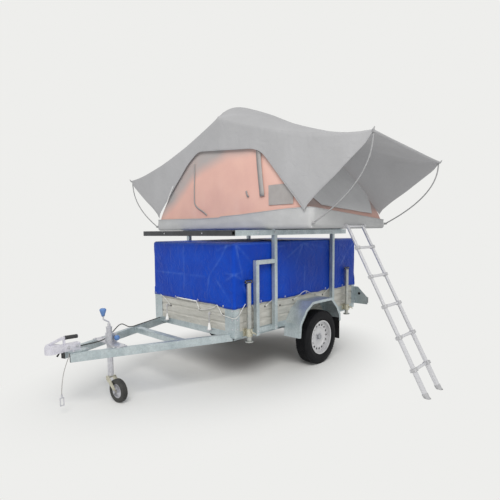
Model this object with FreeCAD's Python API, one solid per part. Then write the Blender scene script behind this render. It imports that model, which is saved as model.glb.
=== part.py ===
"""Roof tent camping trailer: galvanised box trailer, rack, folding roof tent and telescopic ladder.

Millimetres. Origin: centre of the coupling's ball socket. +X runs to the rear, +Y to the trailer's
right-hand side, +Z up. Heights are given above the ground and turned into Z by up().
"""
import FreeCAD, Part
import math
import os

os.makedirs("parts", exist_ok=True)
V = FreeCAD.Vector

# Driving sizes
BALL_HEIGHT = 530.0
BALL_DIAMETER = 50.6
BOX_FRONT = 1370.0
BOX_LENGTH = 2090.0
BOX_WIDTH = 1256.0
WALL_THICKNESS = 25.0
SILL_BOTTOM = 463.0
SILL_TOP = 520.0
WALL_TOP = 815.0
TARP_HEM = 735.0
TARP_TOP = 1335.0
RAIL_BOTTOM = 430.0
RAIL_HEIGHT = 68.0
RAIL_WIDTH = 40.0
MEMBER_INSET = 68.0
TUBE_WALL = 3.0
AXLE_FROM_BOX = 1132.0
TYRE_RADIUS = 289.0
TYRE_WIDTH = 155.0
WHEEL_OUTSET = 100.0
RACK_BOTTOM = 1395.0
RACK_TOP = 1445.0
RACK_OUTSET = 62.0
TENT_BOTTOM = 1460.0
TENT_FRONT_FROM_BOX = 410.0
TENT_WIDTH = 1340.0
TENT_LENGTH = 2320.0
TENT_MIDDLE_Y = -15.0
LADDER_FROM_BOX = 1091.0
LADDER_TRACK = 284.0
LADDER_FOOT_Y = -1988.0
JOCKEY_X = 485.0
JOCKEY_WHEEL_RADIUS = 100.0
JOCKEY_WHEEL_WIDTH = 50.0
JOCKEY_TRAIL = 100.0
JOCKEY_SWIVEL = -83.0

# Worked out from the driving sizes
BOX_REAR = BOX_FRONT + BOX_LENGTH
BOX_HALF = BOX_WIDTH / 2
RACK_HALF_WIDTH = BOX_HALF + RACK_OUTSET
WHEEL_Y = BOX_HALF + WHEEL_OUTSET
AXLE_X = BOX_FRONT + AXLE_FROM_BOX
AXLE_HEIGHT = TYRE_RADIUS
TENT_FRONT = BOX_FRONT + TENT_FRONT_FROM_BOX
TENT_REAR = TENT_FRONT + TENT_WIDTH
TENT_NEAR = TENT_MIDDLE_Y - TENT_LENGTH / 2
TENT_FAR = TENT_MIDDLE_Y + TENT_LENGTH / 2
TENT_MIDDLE_X = (TENT_FRONT + TENT_REAR) / 2
SIDES = (("left", -1), ("right", 1))


def up(height):
    """Height above the ground to Z in the part's frame."""
    return height - BALL_HEIGHT


def block(x0, x1, y0, y1, low, high):
    """Upright block between two X, two Y and two heights above the ground."""
    return Part.makeBox(x1 - x0, y1 - y0, high - low, V(x0, y0, up(low)))


def rod(start, end, radius):
    """Round bar between two points."""
    return Part.makeCylinder(radius, (end - start).Length, start, end - start)


def pipe(start, end, radius, wall):
    """Round tube, open at both ends."""
    return rod(start, end, radius).cut(rod(start, end, radius - wall))


def ring(centre, axis, outer, inner, width):
    """Flat ring centred on a point, its width along the axis."""
    start = centre - axis * (width / 2)
    end = centre + axis * (width / 2)
    return rod(start, end, outer).cut(rod(start, end, inner))


def plate(points, thickness):
    """Flat plate: the polygon is its first face and the thickness is a vector."""
    wire = Part.makePolygon(points + [points[0]])
    return Part.Face(wire).extrude(thickness)


def fuse(shapes):
    """One solid from several that touch."""
    return shapes[0].multiFuse(shapes[1:]).removeSplitter()


def group(shapes):
    """Several solids that share a node."""
    return Part.makeCompound(shapes)


def beam(start, end, width, height, wall):
    """Level rectangular tube between two points on its centre line, cut square, height along Z."""
    along = end - start
    side = V(-along.y, along.x, 0)
    side.normalize()

    def bar(half_width, half_height):
        corner = [start - side * half_width, start + side * half_width]
        foot = V(0, 0, -half_height)
        rise = V(0, 0, half_height)
        face = [corner[0] + foot, corner[1] + foot, corner[1] + rise, corner[0] + rise]
        return plate(face, along)

    return bar(width / 2, height / 2).cut(bar(width / 2 - wall, height / 2 - wall))


def faceted(rings):
    """Solid with flat faces through rings of points of equal number, closed by its two end rings."""
    count = len(rings[0])
    faces = []
    for first, second in zip(rings, rings[1:]):
        for i in range(count):
            a, b, c, d = first[i], first[(i + 1) % count], second[(i + 1) % count], second[i]
            level = abs((b - a).cross(d - a).dot(c - a)) < 1e-6 * max(1.0, (b - a).Length * (d - a).Length)
            corners = [[a, b, c, d]] if level else [[a, b, c], [a, c, d]]
            faces += [Part.Face(Part.makePolygon(points + [points[0]])) for points in corners]
    faces += [Part.Face(Part.makePolygon(points + [points[0]])) for points in (rings[0], rings[-1])]
    return Part.Solid(Part.Shell(faces))


BAR_SIDES = 12


def mitred(points, radius):
    """Bar along straight runs with mitred corners, drawn with flats in place of a round section."""
    runs = [b - a for a, b in zip(points, points[1:])]
    for run in runs:
        run.normalize()
    side = runs[0].cross(V(1, 0, 0) if abs(runs[0].z) > 0.9 else V(0, 0, 1))
    side.normalize()
    other = runs[0].cross(side)
    turns = [math.tau * i / BAR_SIDES for i in range(BAR_SIDES)]
    outline = [points[0] + side * (radius * math.cos(turn)) + other * (radius * math.sin(turn)) for turn in turns]
    rings = [outline]
    for i, run in enumerate(runs):
        mitre = run + runs[i + 1] if i + 1 < len(runs) else run
        outline = [p + run * ((points[i + 1] - p).dot(mitre) / run.dot(mitre)) for p in outline]
        rings.append(outline)
    return faceted(rings)


def revolved(profile):
    """Solid turned about the Y axis: profile pairs are (distance along Y, radius)."""
    points = [V(0, y, radius) for y, radius in profile]
    return Part.Face(Part.makePolygon(points + [points[0]])).revolve(V(0, 0, 0), V(0, 1, 0), 360)


def mirrored(shape):
    """The same shape on the other side of the trailer."""
    return shape.mirror(V(0, 0, 0), V(0, 1, 0))


def on_side(shape, side):
    """A shape drawn for the left side (Y < 0), put on the named side."""
    return shape if side < 0 else mirrored(shape)


def save(name, shape):
    """Write one node."""
    shape.exportStep("parts/" + name + ".step")


# Drawbar
RAIL_FRONT_X = 120.0
RAIL_FRONT_Y = 68.0
RAIL_REAR_X = BOX_FRONT + 26.0
RAIL_REAR_Y = BOX_HALF - MEMBER_INSET
RAIL_MIDDLE = RAIL_BOTTOM + RAIL_HEIGHT / 2
CROSSBAR_X = 985.0


def rail_y(x):
    """Distance of the drawbar rail's centre line from the middle at a station."""
    share = (x - RAIL_FRONT_X) / (RAIL_REAR_X - RAIL_FRONT_X)
    return RAIL_FRONT_Y + share * (RAIL_REAR_Y - RAIL_FRONT_Y)


def drawbar_rail():
    start = V(RAIL_FRONT_X, -RAIL_FRONT_Y, up(RAIL_MIDDLE))
    end = V(RAIL_REAR_X, -RAIL_REAR_Y, up(RAIL_MIDDLE))
    return beam(start, end, RAIL_WIDTH, RAIL_HEIGHT, TUBE_WALL)


def drawbar_rail_solid():
    """Rail without its hollow, for cutting notches."""
    start = V(RAIL_FRONT_X, -RAIL_FRONT_Y, up(RAIL_MIDDLE))
    end = V(RAIL_REAR_X + 30, -rail_y(RAIL_REAR_X + 30), up(RAIL_MIDDLE))
    along = end - start
    side = V(-along.y, along.x, 0)
    side.normalize()
    half = side * (RAIL_WIDTH / 2)
    low = V(0, 0, -RAIL_HEIGHT / 2)
    high = V(0, 0, RAIL_HEIGHT / 2)
    return plate([start - half + low, start + half + low, start + half + high, start - half + high], along)


def drawbar_crossbar():
    """Bar across the V, and the nose plates that carry the coupling."""
    reach = rail_y(CROSSBAR_X)
    bar = beam(V(CROSSBAR_X, -reach, up(RAIL_MIDDLE)), V(CROSSBAR_X, reach, up(RAIL_MIDDLE)), 60, 50, TUBE_WALL)
    rail = drawbar_rail_solid()
    bar = bar.cut(rail).cut(mirrored(rail))
    nose = block(RAIL_FRONT_X + 8, RAIL_FRONT_X + 150, -RAIL_FRONT_Y - 12, RAIL_FRONT_Y + 12,
                 RAIL_BOTTOM + RAIL_HEIGHT, RAIL_BOTTOM + RAIL_HEIGHT + 8)
    return group([bar, nose])


# Coupling
COUPLING_REAR_X = 222.0
COUPLING_BASE = RAIL_BOTTOM + RAIL_HEIGHT + 8


JAW_RADIUS = 44.0
JAW_TOP = BALL_HEIGHT + 49
TAIL_TOP = BALL_HEIGHT + 30
TAIL_HALF = 30.0
SOCKET_DEPTH = 20.0


def coupling_head():
    """Pressed ball coupling: round jaw under a sloping roof, narrowing to the bolted tail."""
    side = [V(-46, -60, up(BALL_HEIGHT - 22)), V(-46, -60, up(BALL_HEIGHT + 6)), V(-34, -60, up(BALL_HEIGHT + 32)),
            V(-14, -60, up(JAW_TOP)), V(14, -60, up(JAW_TOP)), V(58, -60, up(BALL_HEIGHT + 38)),
            V(90, -60, up(TAIL_TOP)), V(COUPLING_REAR_X, -60, up(TAIL_TOP)),
            V(COUPLING_REAR_X, -60, up(COUPLING_BASE)), V(88, -60, up(COUPLING_BASE))]
    profile = plate(side, V(0, 120, 0))
    low = up(BALL_HEIGHT - 40)
    jaw = Part.makeCylinder(JAW_RADIUS, 120, V(0, 0, low))
    neck = plate([V(0, -JAW_RADIUS, low), V(95, -TAIL_HALF, low), V(COUPLING_REAR_X, -TAIL_HALF, low),
                  V(COUPLING_REAR_X, TAIL_HALF, low), V(95, TAIL_HALF, low), V(0, JAW_RADIUS, low)], V(0, 0, 120))
    shell = profile.common(fuse([jaw, neck]))
    socket = Part.makeCylinder(BALL_DIAMETER / 2, 40 + SOCKET_DEPTH, V(0, 0, -40))
    crown = Part.makeCone(BALL_DIAMETER / 2, 14, 14, V(0, 0, SOCKET_DEPTH))
    return shell.cut(socket).cut(crown).removeSplitter()


def coupling_handle():
    """Release lever: sloping arm rising from the nose, and the grip."""
    arm = plate([V(-14, -9, 49.3), V(14, -9, 49.3), V(98, -9, 76), V(118, -9, 78),
                 V(118, -9, 92), V(94, -9, 94), V(-14, -9, 58)], V(0, 18, 0))
    stem = block(97, 112, -9, 9, BALL_HEIGHT + 30, BALL_HEIGHT + 80)
    grip = rod(V(106, 0, 84), V(212, 0, 80), 15)
    return fuse([arm, stem, grip])


# Jockey wheel
CLAMP_LOW = 500.0
CLAMP_HIGH = 585.0
JOCKEY_TUBE_LOW = 218.0
JOCKEY_TUBE_HIGH = 630.0
JOCKEY_TUBE_RADIUS = 24.0
JOCKEY_TUBE_WALL = 3.0
FORK_TOP = 210.0
FORK_HALF = 34.0
JOCKEY_FIT = 0.3
KNOB_SIDES = 12
JOCKEY_RIM_RADIUS = 60.0


def swivelled(shape):
    """A shape drawn with the jockey wheel trailing to +X, turned to the way it stands parked."""
    turned = shape.copy()
    turned.rotate(V(JOCKEY_X, 0, 0), V(0, 0, 1), JOCKEY_SWIVEL)
    return turned


def jockey_clamp():
    """Split collar on a bridge plate between the rails."""
    half = rail_y(JOCKEY_X) + 6
    bridge = block(JOCKEY_X - 45, JOCKEY_X + 45, -half, half, RAIL_BOTTOM + RAIL_HEIGHT, CLAMP_LOW + 6)
    collar = Part.makeCylinder(34, CLAMP_HIGH - CLAMP_LOW, V(JOCKEY_X, 0, up(CLAMP_LOW)))
    lug = block(JOCKEY_X + 28, JOCKEY_X + 62, -14, 14, CLAMP_LOW, CLAMP_HIGH - 10)
    hole = Part.makeCylinder(JOCKEY_TUBE_RADIUS + JOCKEY_FIT, 200, V(JOCKEY_X, 0, up(CLAMP_LOW - 60)))
    return fuse([bridge, collar, lug]).cut(hole)


def jockey_clamp_knob():
    stem = rod(V(JOCKEY_X + 45, -14, up(540)), V(JOCKEY_X + 45, -40, up(540)), 6)
    knob = rod(V(JOCKEY_X + 45, -38, up(540)), V(JOCKEY_X + 45, -70, up(540)), 27)
    return fuse([stem, knob])


def jockey_outer_tube():
    tube = pipe(V(JOCKEY_X, 0, up(JOCKEY_TUBE_LOW)), V(JOCKEY_X, 0, up(JOCKEY_TUBE_HIGH)),
                JOCKEY_TUBE_RADIUS, JOCKEY_TUBE_WALL)
    cap = rod(V(JOCKEY_X, 0, up(JOCKEY_TUBE_HIGH)), V(JOCKEY_X, 0, up(JOCKEY_TUBE_HIGH + 8)), 26)
    collar = rod(V(JOCKEY_X, 0, up(JOCKEY_TUBE_HIGH + 8)), V(JOCKEY_X, 0, up(JOCKEY_TUBE_HIGH + 34)), 13)
    return fuse([tube, cap, collar])


def jockey_crank():
    """Cranked rod with its knob."""
    top = JOCKEY_TUBE_HIGH + 34
    bends = [V(JOCKEY_X, 0, up(top)), V(JOCKEY_X, 0, up(top + 14)), V(JOCKEY_X - 48, 0, up(top + 44)),
             V(JOCKEY_X - 48, 0, up(top + 74))]
    rings = []
    for height, radius in ((72, 11), (120, 26), (128, 26), (138, 17)):
        corners = [V(JOCKEY_X - 48 + radius * math.cos(math.tau * i / KNOB_SIDES),
                     radius * math.sin(math.tau * i / KNOB_SIDES), up(top + height)) for i in range(KNOB_SIDES)]
        rings.append(corners)
    return fuse([mitred(bends, 6), faceted(rings)])


def jockey_inner_tube():
    radius = JOCKEY_TUBE_RADIUS - JOCKEY_TUBE_WALL - JOCKEY_FIT
    return rod(V(JOCKEY_X, 0, up(FORK_TOP + JOCKEY_FIT)), V(JOCKEY_X, 0, up(430)), radius)


def jockey_fork():
    """Crown under the inner tube and two arms that trail to the hub."""
    wheel_x = JOCKEY_X + JOCKEY_TRAIL
    crown = block(JOCKEY_X - 22, JOCKEY_X + 22, -FORK_HALF, FORK_HALF, FORK_TOP - 10, FORK_TOP)
    arms = []
    for sign in (-1, 1):
        y = sign * (FORK_HALF - 4)
        side = [V(JOCKEY_X - 22, y, up(FORK_TOP)), V(JOCKEY_X + 22, y, up(FORK_TOP)),
                V(wheel_x + 6, y, up(JOCKEY_WHEEL_RADIUS + 14)), V(wheel_x + 15, y, up(JOCKEY_WHEEL_RADIUS)),
                V(wheel_x + 6, y, up(JOCKEY_WHEEL_RADIUS - 14)), V(wheel_x - 12, y, up(JOCKEY_WHEEL_RADIUS - 12)),
                V(JOCKEY_X - 22, y, up(FORK_TOP - 30))]
        arms.append(plate(side, V(0, sign * 4, 0)))
    pin = rod(V(wheel_x, -FORK_HALF - 6, up(JOCKEY_WHEEL_RADIUS)), V(wheel_x, FORK_HALF + 6, up(JOCKEY_WHEEL_RADIUS)), 6)
    return swivelled(fuse([crown] + arms + [pin]))


def jockey_rim():
    centre = V(JOCKEY_X + JOCKEY_TRAIL, 0, up(JOCKEY_WHEEL_RADIUS))
    axis = V(0, 1, 0)
    hub = ring(centre, axis, 16, 6 + JOCKEY_FIT, 2 * (FORK_HALF - 4) - 2)
    disc = ring(centre, axis, JOCKEY_RIM_RADIUS - 2, 14, 6)
    flange = ring(centre, axis, JOCKEY_RIM_RADIUS, JOCKEY_RIM_RADIUS - 5, 40)
    return swivelled(fuse([hub, disc, flange]))


def jockey_tyre():
    half = JOCKEY_WHEEL_WIDTH / 2
    outer = JOCKEY_WHEEL_RADIUS
    near = [(half, JOCKEY_RIM_RADIUS + 0.2), (half, outer - 4.5), (half - 4.5, outer)]
    tyre_ring = revolved(near + [(-y, radius) for y, radius in reversed(near)])
    tyre_ring.translate(V(JOCKEY_X + JOCKEY_TRAIL, 0, up(JOCKEY_WHEEL_RADIUS)))
    return swivelled(tyre_ring)


# Chassis and axle
MEMBER_HALF = RAIL_REAR_Y
STUB_RADIUS = 15.0
MEMBER_REAR = BOX_REAR - 10
CROSS_BOTTOM = 445.0
SILL_FLANGE = RAIL_BOTTOM + RAIL_HEIGHT + 2


def chassis_frame():
    """Two side members from the drawbar's ends, and four cross members between them."""
    members = []
    corner = RAIL_WIDTH / 2 * (RAIL_REAR_Y - RAIL_FRONT_Y) / (RAIL_REAR_X - RAIL_FRONT_X)
    member_front = RAIL_REAR_X + corner
    for sign in (-1, 1):
        start = V(member_front, sign * MEMBER_HALF, up(RAIL_MIDDLE))
        end = V(MEMBER_REAR, sign * MEMBER_HALF, up(RAIL_MIDDLE))
        members.append(beam(start, end, RAIL_WIDTH, RAIL_HEIGHT, TUBE_WALL))
    reach = MEMBER_HALF - RAIL_WIDTH / 2
    for x, top in ((member_front + 22, SILL_FLANGE), (AXLE_X - 420, SILL_TOP), (AXLE_X + 420, SILL_TOP),
                   (MEMBER_REAR - 22, SILL_FLANGE)):
        middle = up((CROSS_BOTTOM + top) / 2)
        members.append(beam(V(x, -reach, middle), V(x, reach, middle), 40, top - CROSS_BOTTOM, TUBE_WALL))
    return group(members)


def axle_beam():
    """Square torsion beam hung on two brackets under the side members."""
    half = MEMBER_HALF + 30
    tube = beam(V(AXLE_X - 120, -half, up(390)), V(AXLE_X - 120, half, up(390)), 70, 70, 6)
    brackets = []
    for sign in (-1, 1):
        y = sign * MEMBER_HALF
        brackets.append(block(AXLE_X - 220, AXLE_X - 20, y - 20, y + 20, 424.9, RAIL_BOTTOM))
    return fuse([tube] + brackets)


def axle_arms():
    """Trailing arms from the beam's ends down to the stub axles and hub drums."""
    arms = []
    for sign in (-1, 1):
        inner = sign * (MEMBER_HALF + 30)
        arm = plate([V(AXLE_X - 155, inner, up(425)), V(AXLE_X - 85, inner, up(425)),
                     V(AXLE_X + 34, inner, up(AXLE_HEIGHT + 24)), V(AXLE_X + 26, inner, up(AXLE_HEIGHT - 30)),
                     V(AXLE_X - 30, inner, up(AXLE_HEIGHT - 30)), V(AXLE_X - 155, inner, up(355))],
                    V(0, sign * 30, 0))
        stub = rod(V(AXLE_X, inner, up(AXLE_HEIGHT)), V(AXLE_X, sign * (WHEEL_Y + 28), up(AXLE_HEIGHT)), STUB_RADIUS)
        arms.append(fuse([arm, stub]))
    return group(arms)


# Road wheels
VENT_HOLES = 16


RIM_SEAT = 172.0
RIM_FLANGE = 182.0
RIM_HALF = 69.0
DISC_SET = 38.0


def wheel_rim():
    """Pressed steel rim about the wheel's own centre, outer face toward -Y: barrel with flanges, and a
    dished disc with a ring of vent holes, welded hub and cap."""
    bore = STUB_RADIUS + 0.3
    barrel = revolved([(-RIM_HALF, RIM_SEAT - 4), (-RIM_HALF, RIM_FLANGE), (-RIM_HALF + 5, RIM_FLANGE),
                       (-RIM_HALF + 5, RIM_SEAT), (RIM_HALF - 5, RIM_SEAT), (RIM_HALF - 5, RIM_FLANGE),
                       (RIM_HALF, RIM_FLANGE), (RIM_HALF, RIM_SEAT - 4), (-12, RIM_SEAT - 4), (-12, RIM_SEAT - 20),
                       (-44, RIM_SEAT - 20), (-44, RIM_SEAT - 4)])
    disc = revolved([(-DISC_SET, RIM_SEAT - 19), (-DISC_SET, 107), (-DISC_SET + 9, 91), (-DISC_SET + 9, bore),
                     (-DISC_SET + 14, bore), (-DISC_SET + 14, 93), (-DISC_SET + 5, 109),
                     (-DISC_SET + 5, RIM_SEAT - 19)])
    holes = []
    for i in range(VENT_HOLES):
        turn = 2 * math.pi * i / VENT_HOLES
        spot = V(130 * math.cos(turn), -DISC_SET, 130 * math.sin(turn))
        holes.append(rod(spot + V(0, -10, 0), spot + V(0, 20, 0), 12.5))
    hub = ring(V(0, -4, 0), V(0, 1, 0), 55, bore, 52)
    cap = rod(V(0, -50, 0), V(0, -DISC_SET + 9, 0), 26)
    return fuse([barrel, disc.cut(group(holes)), hub]).fuse(cap).removeSplitter()


def tyre():
    """Road tyre about the wheel's own centre, seated between the rim's flanges."""
    half = TYRE_WIDTH / 2
    near = [(RIM_HALF + 0.5, RIM_FLANGE + 0.3), (half, RIM_FLANGE + 12), (half, TYRE_RADIUS - 18),
            (half - 20, TYRE_RADIUS)]
    return revolved(near + [(-y, radius) for y, radius in reversed(near)])


# Mudguards and flaps
GUARD_INNER = BOX_HALF + 2
GUARD_OUTER = GUARD_INNER + 195
GUARD_OUTLINE = ((-434, 362), (-420, 500), (-317, 635), (-202, 703), (158, 703), (268, 600), (330, 500), (334, 424))


def mudguard():
    """Faceted sheet-metal mudguard with a lip on its outer edge and a stay to the wall."""
    outer = [V(AXLE_X + x, -GUARD_OUTER, up(z)) for x, z in GUARD_OUTLINE]
    middle = V(AXLE_X, -GUARD_OUTER, up(AXLE_HEIGHT + 60))

    def shrink(points, by):
        moved = []
        for p in points:
            inward = middle - p
            inward.normalize()
            moved.append(p + inward * by)
        return moved

    skin = plate(outer + shrink(outer, 3.5)[::-1], V(0, GUARD_OUTER - GUARD_INNER, 0))
    lip = plate(outer + shrink(outer, 26)[::-1], V(0, 3, 0))
    inner_web = plate(outer + shrink(outer, 40)[::-1], V(0, 3, 0))
    inner_web.translate(V(0, GUARD_OUTER - GUARD_INNER - 1, 0))
    return fuse([skin, lip, inner_web])


def mud_flap():
    x = AXLE_X + 328.6
    return block(x - 8, x, -GUARD_OUTER + 12, -GUARD_INNER - 30, 215, 452)


# Box
GATE_CLEARANCE = 5.5


def floor_panel():
    inset = BOX_HALF - WALL_THICKNESS
    rear = BOX_REAR - WALL_THICKNESS - GATE_CLEARANCE
    return block(BOX_FRONT + WALL_THICKNESS, rear, -inset, inset, SILL_TOP, SILL_TOP + 12)


def sills():
    """Floor edge frame: flat flange with a lip that hangs outside, notched for the drawbar rails."""
    outer = block(BOX_FRONT, BOX_REAR, -BOX_HALF, BOX_HALF, SILL_FLANGE, SILL_TOP)
    outer = outer.cut(block(BOX_FRONT + 52, BOX_REAR - 52, -BOX_HALF + 52, BOX_HALF - 52, 490, SILL_TOP + 10))
    outer = outer.cut(block(BOX_FRONT + 4, BOX_REAR - 4, -BOX_HALF + 4, BOX_HALF - 4, SILL_FLANGE + 3, SILL_TOP - 3))
    skirt = block(BOX_FRONT, BOX_REAR, -BOX_HALF, BOX_HALF, SILL_BOTTOM, SILL_FLANGE)
    skirt = skirt.cut(block(BOX_FRONT + 4, BOX_REAR - 4, -BOX_HALF + 4, BOX_HALF - 4, SILL_BOTTOM - 5, SILL_FLANGE))
    rail = drawbar_rail_solid()
    return fuse([outer, skirt]).cut(rail).cut(mirrored(rail))


RIBS = 4
RIB_GAP = 15.0
RIB_PROUD = 5.0


def ribbed_wall(length):
    """Aluminium wall along X from 0, outer face toward -Y at Y 0, with raised horizontal ribs."""
    panel = Part.makeBox(length, WALL_THICKNESS - RIB_PROUD, WALL_TOP - SILL_TOP, V(0, RIB_PROUD, up(SILL_TOP)))
    pitch = (WALL_TOP - SILL_TOP + RIB_GAP) / RIBS
    ribs = []
    for i in range(RIBS):
        low = SILL_TOP + i * pitch
        high = low + pitch - RIB_GAP
        flank_low = 0 if i == 0 else RIB_PROUD
        flank_high = 0 if i == RIBS - 1 else RIB_PROUD
        ribs.append(plate([V(0, RIB_PROUD + 0.5, up(low)), V(0, RIB_PROUD, up(low)), V(0, 0, up(low + flank_low)),
                           V(0, 0, up(high - flank_high)), V(0, RIB_PROUD, up(high)),
                           V(0, RIB_PROUD + 0.5, up(high))], V(length, 0, 0)))
    return fuse([panel] + ribs)


def wall_front():
    wall = ribbed_wall(BOX_WIDTH - 8)
    wall.rotate(V(0, 0, 0), V(0, 0, 1), -90)
    wall.translate(V(BOX_FRONT, BOX_HALF - 4, 0))
    return wall


def wall_side():
    wall = ribbed_wall(BOX_LENGTH - 2 * WALL_THICKNESS - 8)
    wall.translate(V(BOX_FRONT + WALL_THICKNESS + 2, -BOX_HALF, 0))
    return wall


HINGE_X = BOX_REAR + 9
HINGE_HEIGHT = 512.0
GATE_HALF = BOX_HALF - 46


def tailgate():
    """Rear flap between the rear corner posts, hinged at its bottom edge, with two end latches."""
    gate = ribbed_wall(2 * GATE_HALF)
    gate.rotate(V(0, 0, 0), V(0, 0, 1), 90)
    gate.translate(V(BOX_REAR, -GATE_HALF, 2))
    gate = gate.common(block(BOX_REAR - 40, BOX_REAR, -GATE_HALF, GATE_HALF, SILL_TOP + GATE_CLEARANCE, WALL_TOP))
    knuckles = []
    for y in (-400, 0, 400):
        barrel = rod(V(HINGE_X, y - 30, up(HINGE_HEIGHT)), V(HINGE_X, y + 30, up(HINGE_HEIGHT)), 7)
        leaf = block(BOX_REAR - 1, BOX_REAR + 4, y - 30, y + 30, SILL_TOP + 4, 575)
        strap = block(BOX_REAR + 0.3, HINGE_X + 4, y - 30, y + 30, HINGE_HEIGHT, SILL_TOP + 12)
        knuckles.append(fuse([barrel, leaf, strap]))
    return fuse([gate] + knuckles)


def tailgate_hinges():
    """Fixed hinge lugs on the rear sill."""
    lugs = []
    for y in (-400, 0, 400):
        for side in (-1, 1):
            start = V(HINGE_X, y + side * 31, up(HINGE_HEIGHT))
            end = V(HINGE_X, y + side * 43, up(HINGE_HEIGHT))
            pad_from = min(start.y, end.y)
            pad = block(BOX_REAR, HINGE_X, pad_from, pad_from + 12, HINGE_HEIGHT - 7, HINGE_HEIGHT + 7)
            lugs.append(fuse([rod(start, end, 7), pad]))
    return group(lugs)


def corner_posts():
    """Galvanised corner angles: front pair wrap the corner, rear pair close it beside the tailgate."""
    posts = []
    for sign in (-1, 1):
        outer = BOX_HALF + 3
        front = block(BOX_FRONT - 3, BOX_FRONT + 60, -outer, -outer + 128, 470, WALL_TOP + 3)
        front = front.cut(block(BOX_FRONT, BOX_FRONT + 70, -BOX_HALF, -outer + 140, 460, WALL_TOP + 10))
        rear = block(BOX_REAR - 60, BOX_REAR, -outer, -GATE_HALF - GATE_CLEARANCE, 470, WALL_TOP + 3)
        rear = rear.cut(block(BOX_REAR - 70, BOX_REAR - 22, -BOX_HALF, -GATE_HALF, 460, WALL_TOP + 10))
        rear = rear.cut(block(BOX_REAR - 70, BOX_REAR + 10, -BOX_HALF, -GATE_HALF, 460, SILL_TOP))
        front = front.cut(drawbar_rail_solid())
        for post in (front, rear):
            posts.append(on_side(post, sign))
    return group(posts)


def front_rod_catches():
    """Two upright tie rods in front of the wall, each with a clip above and a white cone on a foot."""
    catches = []
    for y in (-300, 388):
        foot = block(BOX_FRONT - 44, BOX_FRONT, y - 24, y + 24, 498, 504)
        cone = Part.makeCone(19, 7, 62, V(BOX_FRONT - 22, y, up(504)))
        stay = rod(V(BOX_FRONT - 22, y, up(560)), V(BOX_FRONT - 22, y, up(668)), 4)
        clip = block(BOX_FRONT - 28, BOX_FRONT, y - 9, y + 9, 652, 664)
        catches.append(fuse([foot, cone, stay, clip]))
    return group(catches)


# Load cover
TARP_GAP = 4.0
TARP_SKIN = 5.0
STAKE_FIT = 0.3
STAKE_FOOT = 590.0


def tarp():
    """High tarpaulin: open below, its hem over the walls, the rear hem ends above the tailgate."""
    near = TARP_GAP
    far = TARP_GAP + TARP_SKIN
    outer = block(BOX_FRONT - far, BOX_REAR + far, -BOX_HALF - far, BOX_HALF + far, TARP_HEM, TARP_TOP)
    inner = block(BOX_FRONT - near, BOX_REAR + near, -BOX_HALF - near, BOX_HALF + near, 700, TARP_TOP - TARP_SKIN)
    rear_gap = block(BOX_REAR - 62, BOX_REAR + 40, -BOX_HALF - 40, BOX_HALF + 40, 700, WALL_TOP + 12)
    return outer.cut(inner).cut(rear_gap)


def tarp_frame():
    """Bows that carry the tarpaulin: three arches on stakes inside the walls, and two long rails."""
    top = TARP_TOP - TARP_SKIN
    size = 25
    y = BOX_HALF - WALL_THICKNESS - STAKE_FIT
    pieces = []
    for x in (BOX_FRONT + 40, BOX_FRONT + BOX_LENGTH / 2, BOX_REAR - 64):
        for sign in (-1, 1):
            inner = sign * y
            stake = block(x, x + size, min(inner, inner - sign * size), max(inner, inner - sign * size),
                          STAKE_FOOT, top)
            pieces.append(stake)
        pieces.append(block(x, x + size, -y, y, top - size, top))
    for sign in (-1, 1):
        edge = sign * y
        pieces.append(block(BOX_FRONT + 40, BOX_REAR - 64, min(edge, edge - sign * size),
                            max(edge, edge - sign * size), top - size, top))
    return fuse(pieces)


# Rack
POST_OUT = RACK_HALF_WIDTH - 5
POST_IN = POST_OUT - 40
FRONT_POST_X = BOX_FRONT + 513
REAR_POST_X = BOX_REAR - 560
GUARD_POST_X = BOX_FRONT + 250
RACK_REAR_X = BOX_REAR - 305
RACK_FRONT_X = BOX_FRONT - 65
POST_FOOT = 470.0


def rack_side_rails():
    rails = []
    middle = (RACK_BOTTOM + RACK_TOP) / 2
    for sign in (-1, 1):
        y = sign * (RACK_HALF_WIDTH - 25)
        rails.append(beam(V(RACK_FRONT_X + 25, y, up(middle)), V(RACK_REAR_X, y, up(middle)), 50, 50, 3))
    return group(rails)


def rack_cross_rails():
    """Front and rear rails between the side rails, and the stub that meets the cover's frame."""
    middle = (RACK_BOTTOM + RACK_TOP) / 2
    front = beam(V(RACK_FRONT_X, -RACK_HALF_WIDTH, up(middle)), V(RACK_FRONT_X, RACK_HALF_WIDTH, up(middle)),
                 50, 50, 3)
    inner = RACK_HALF_WIDTH - 50
    rear = beam(V(RACK_REAR_X - 40, -inner, up(middle)), V(RACK_REAR_X - 40, inner, up(middle)), 50, 50, 3)
    return group([front, rear])


def upright(x, low, high):
    """Square post on the left side between two heights."""
    outer = block(x - 20, x + 20, -POST_OUT, -POST_IN, low, high)
    bore = block(x - 20 + TUBE_WALL, x + 20 - TUBE_WALL, -POST_OUT + TUBE_WALL, -POST_IN - TUBE_WALL,
                 low - 1, high + 1)
    return outer, bore


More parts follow.
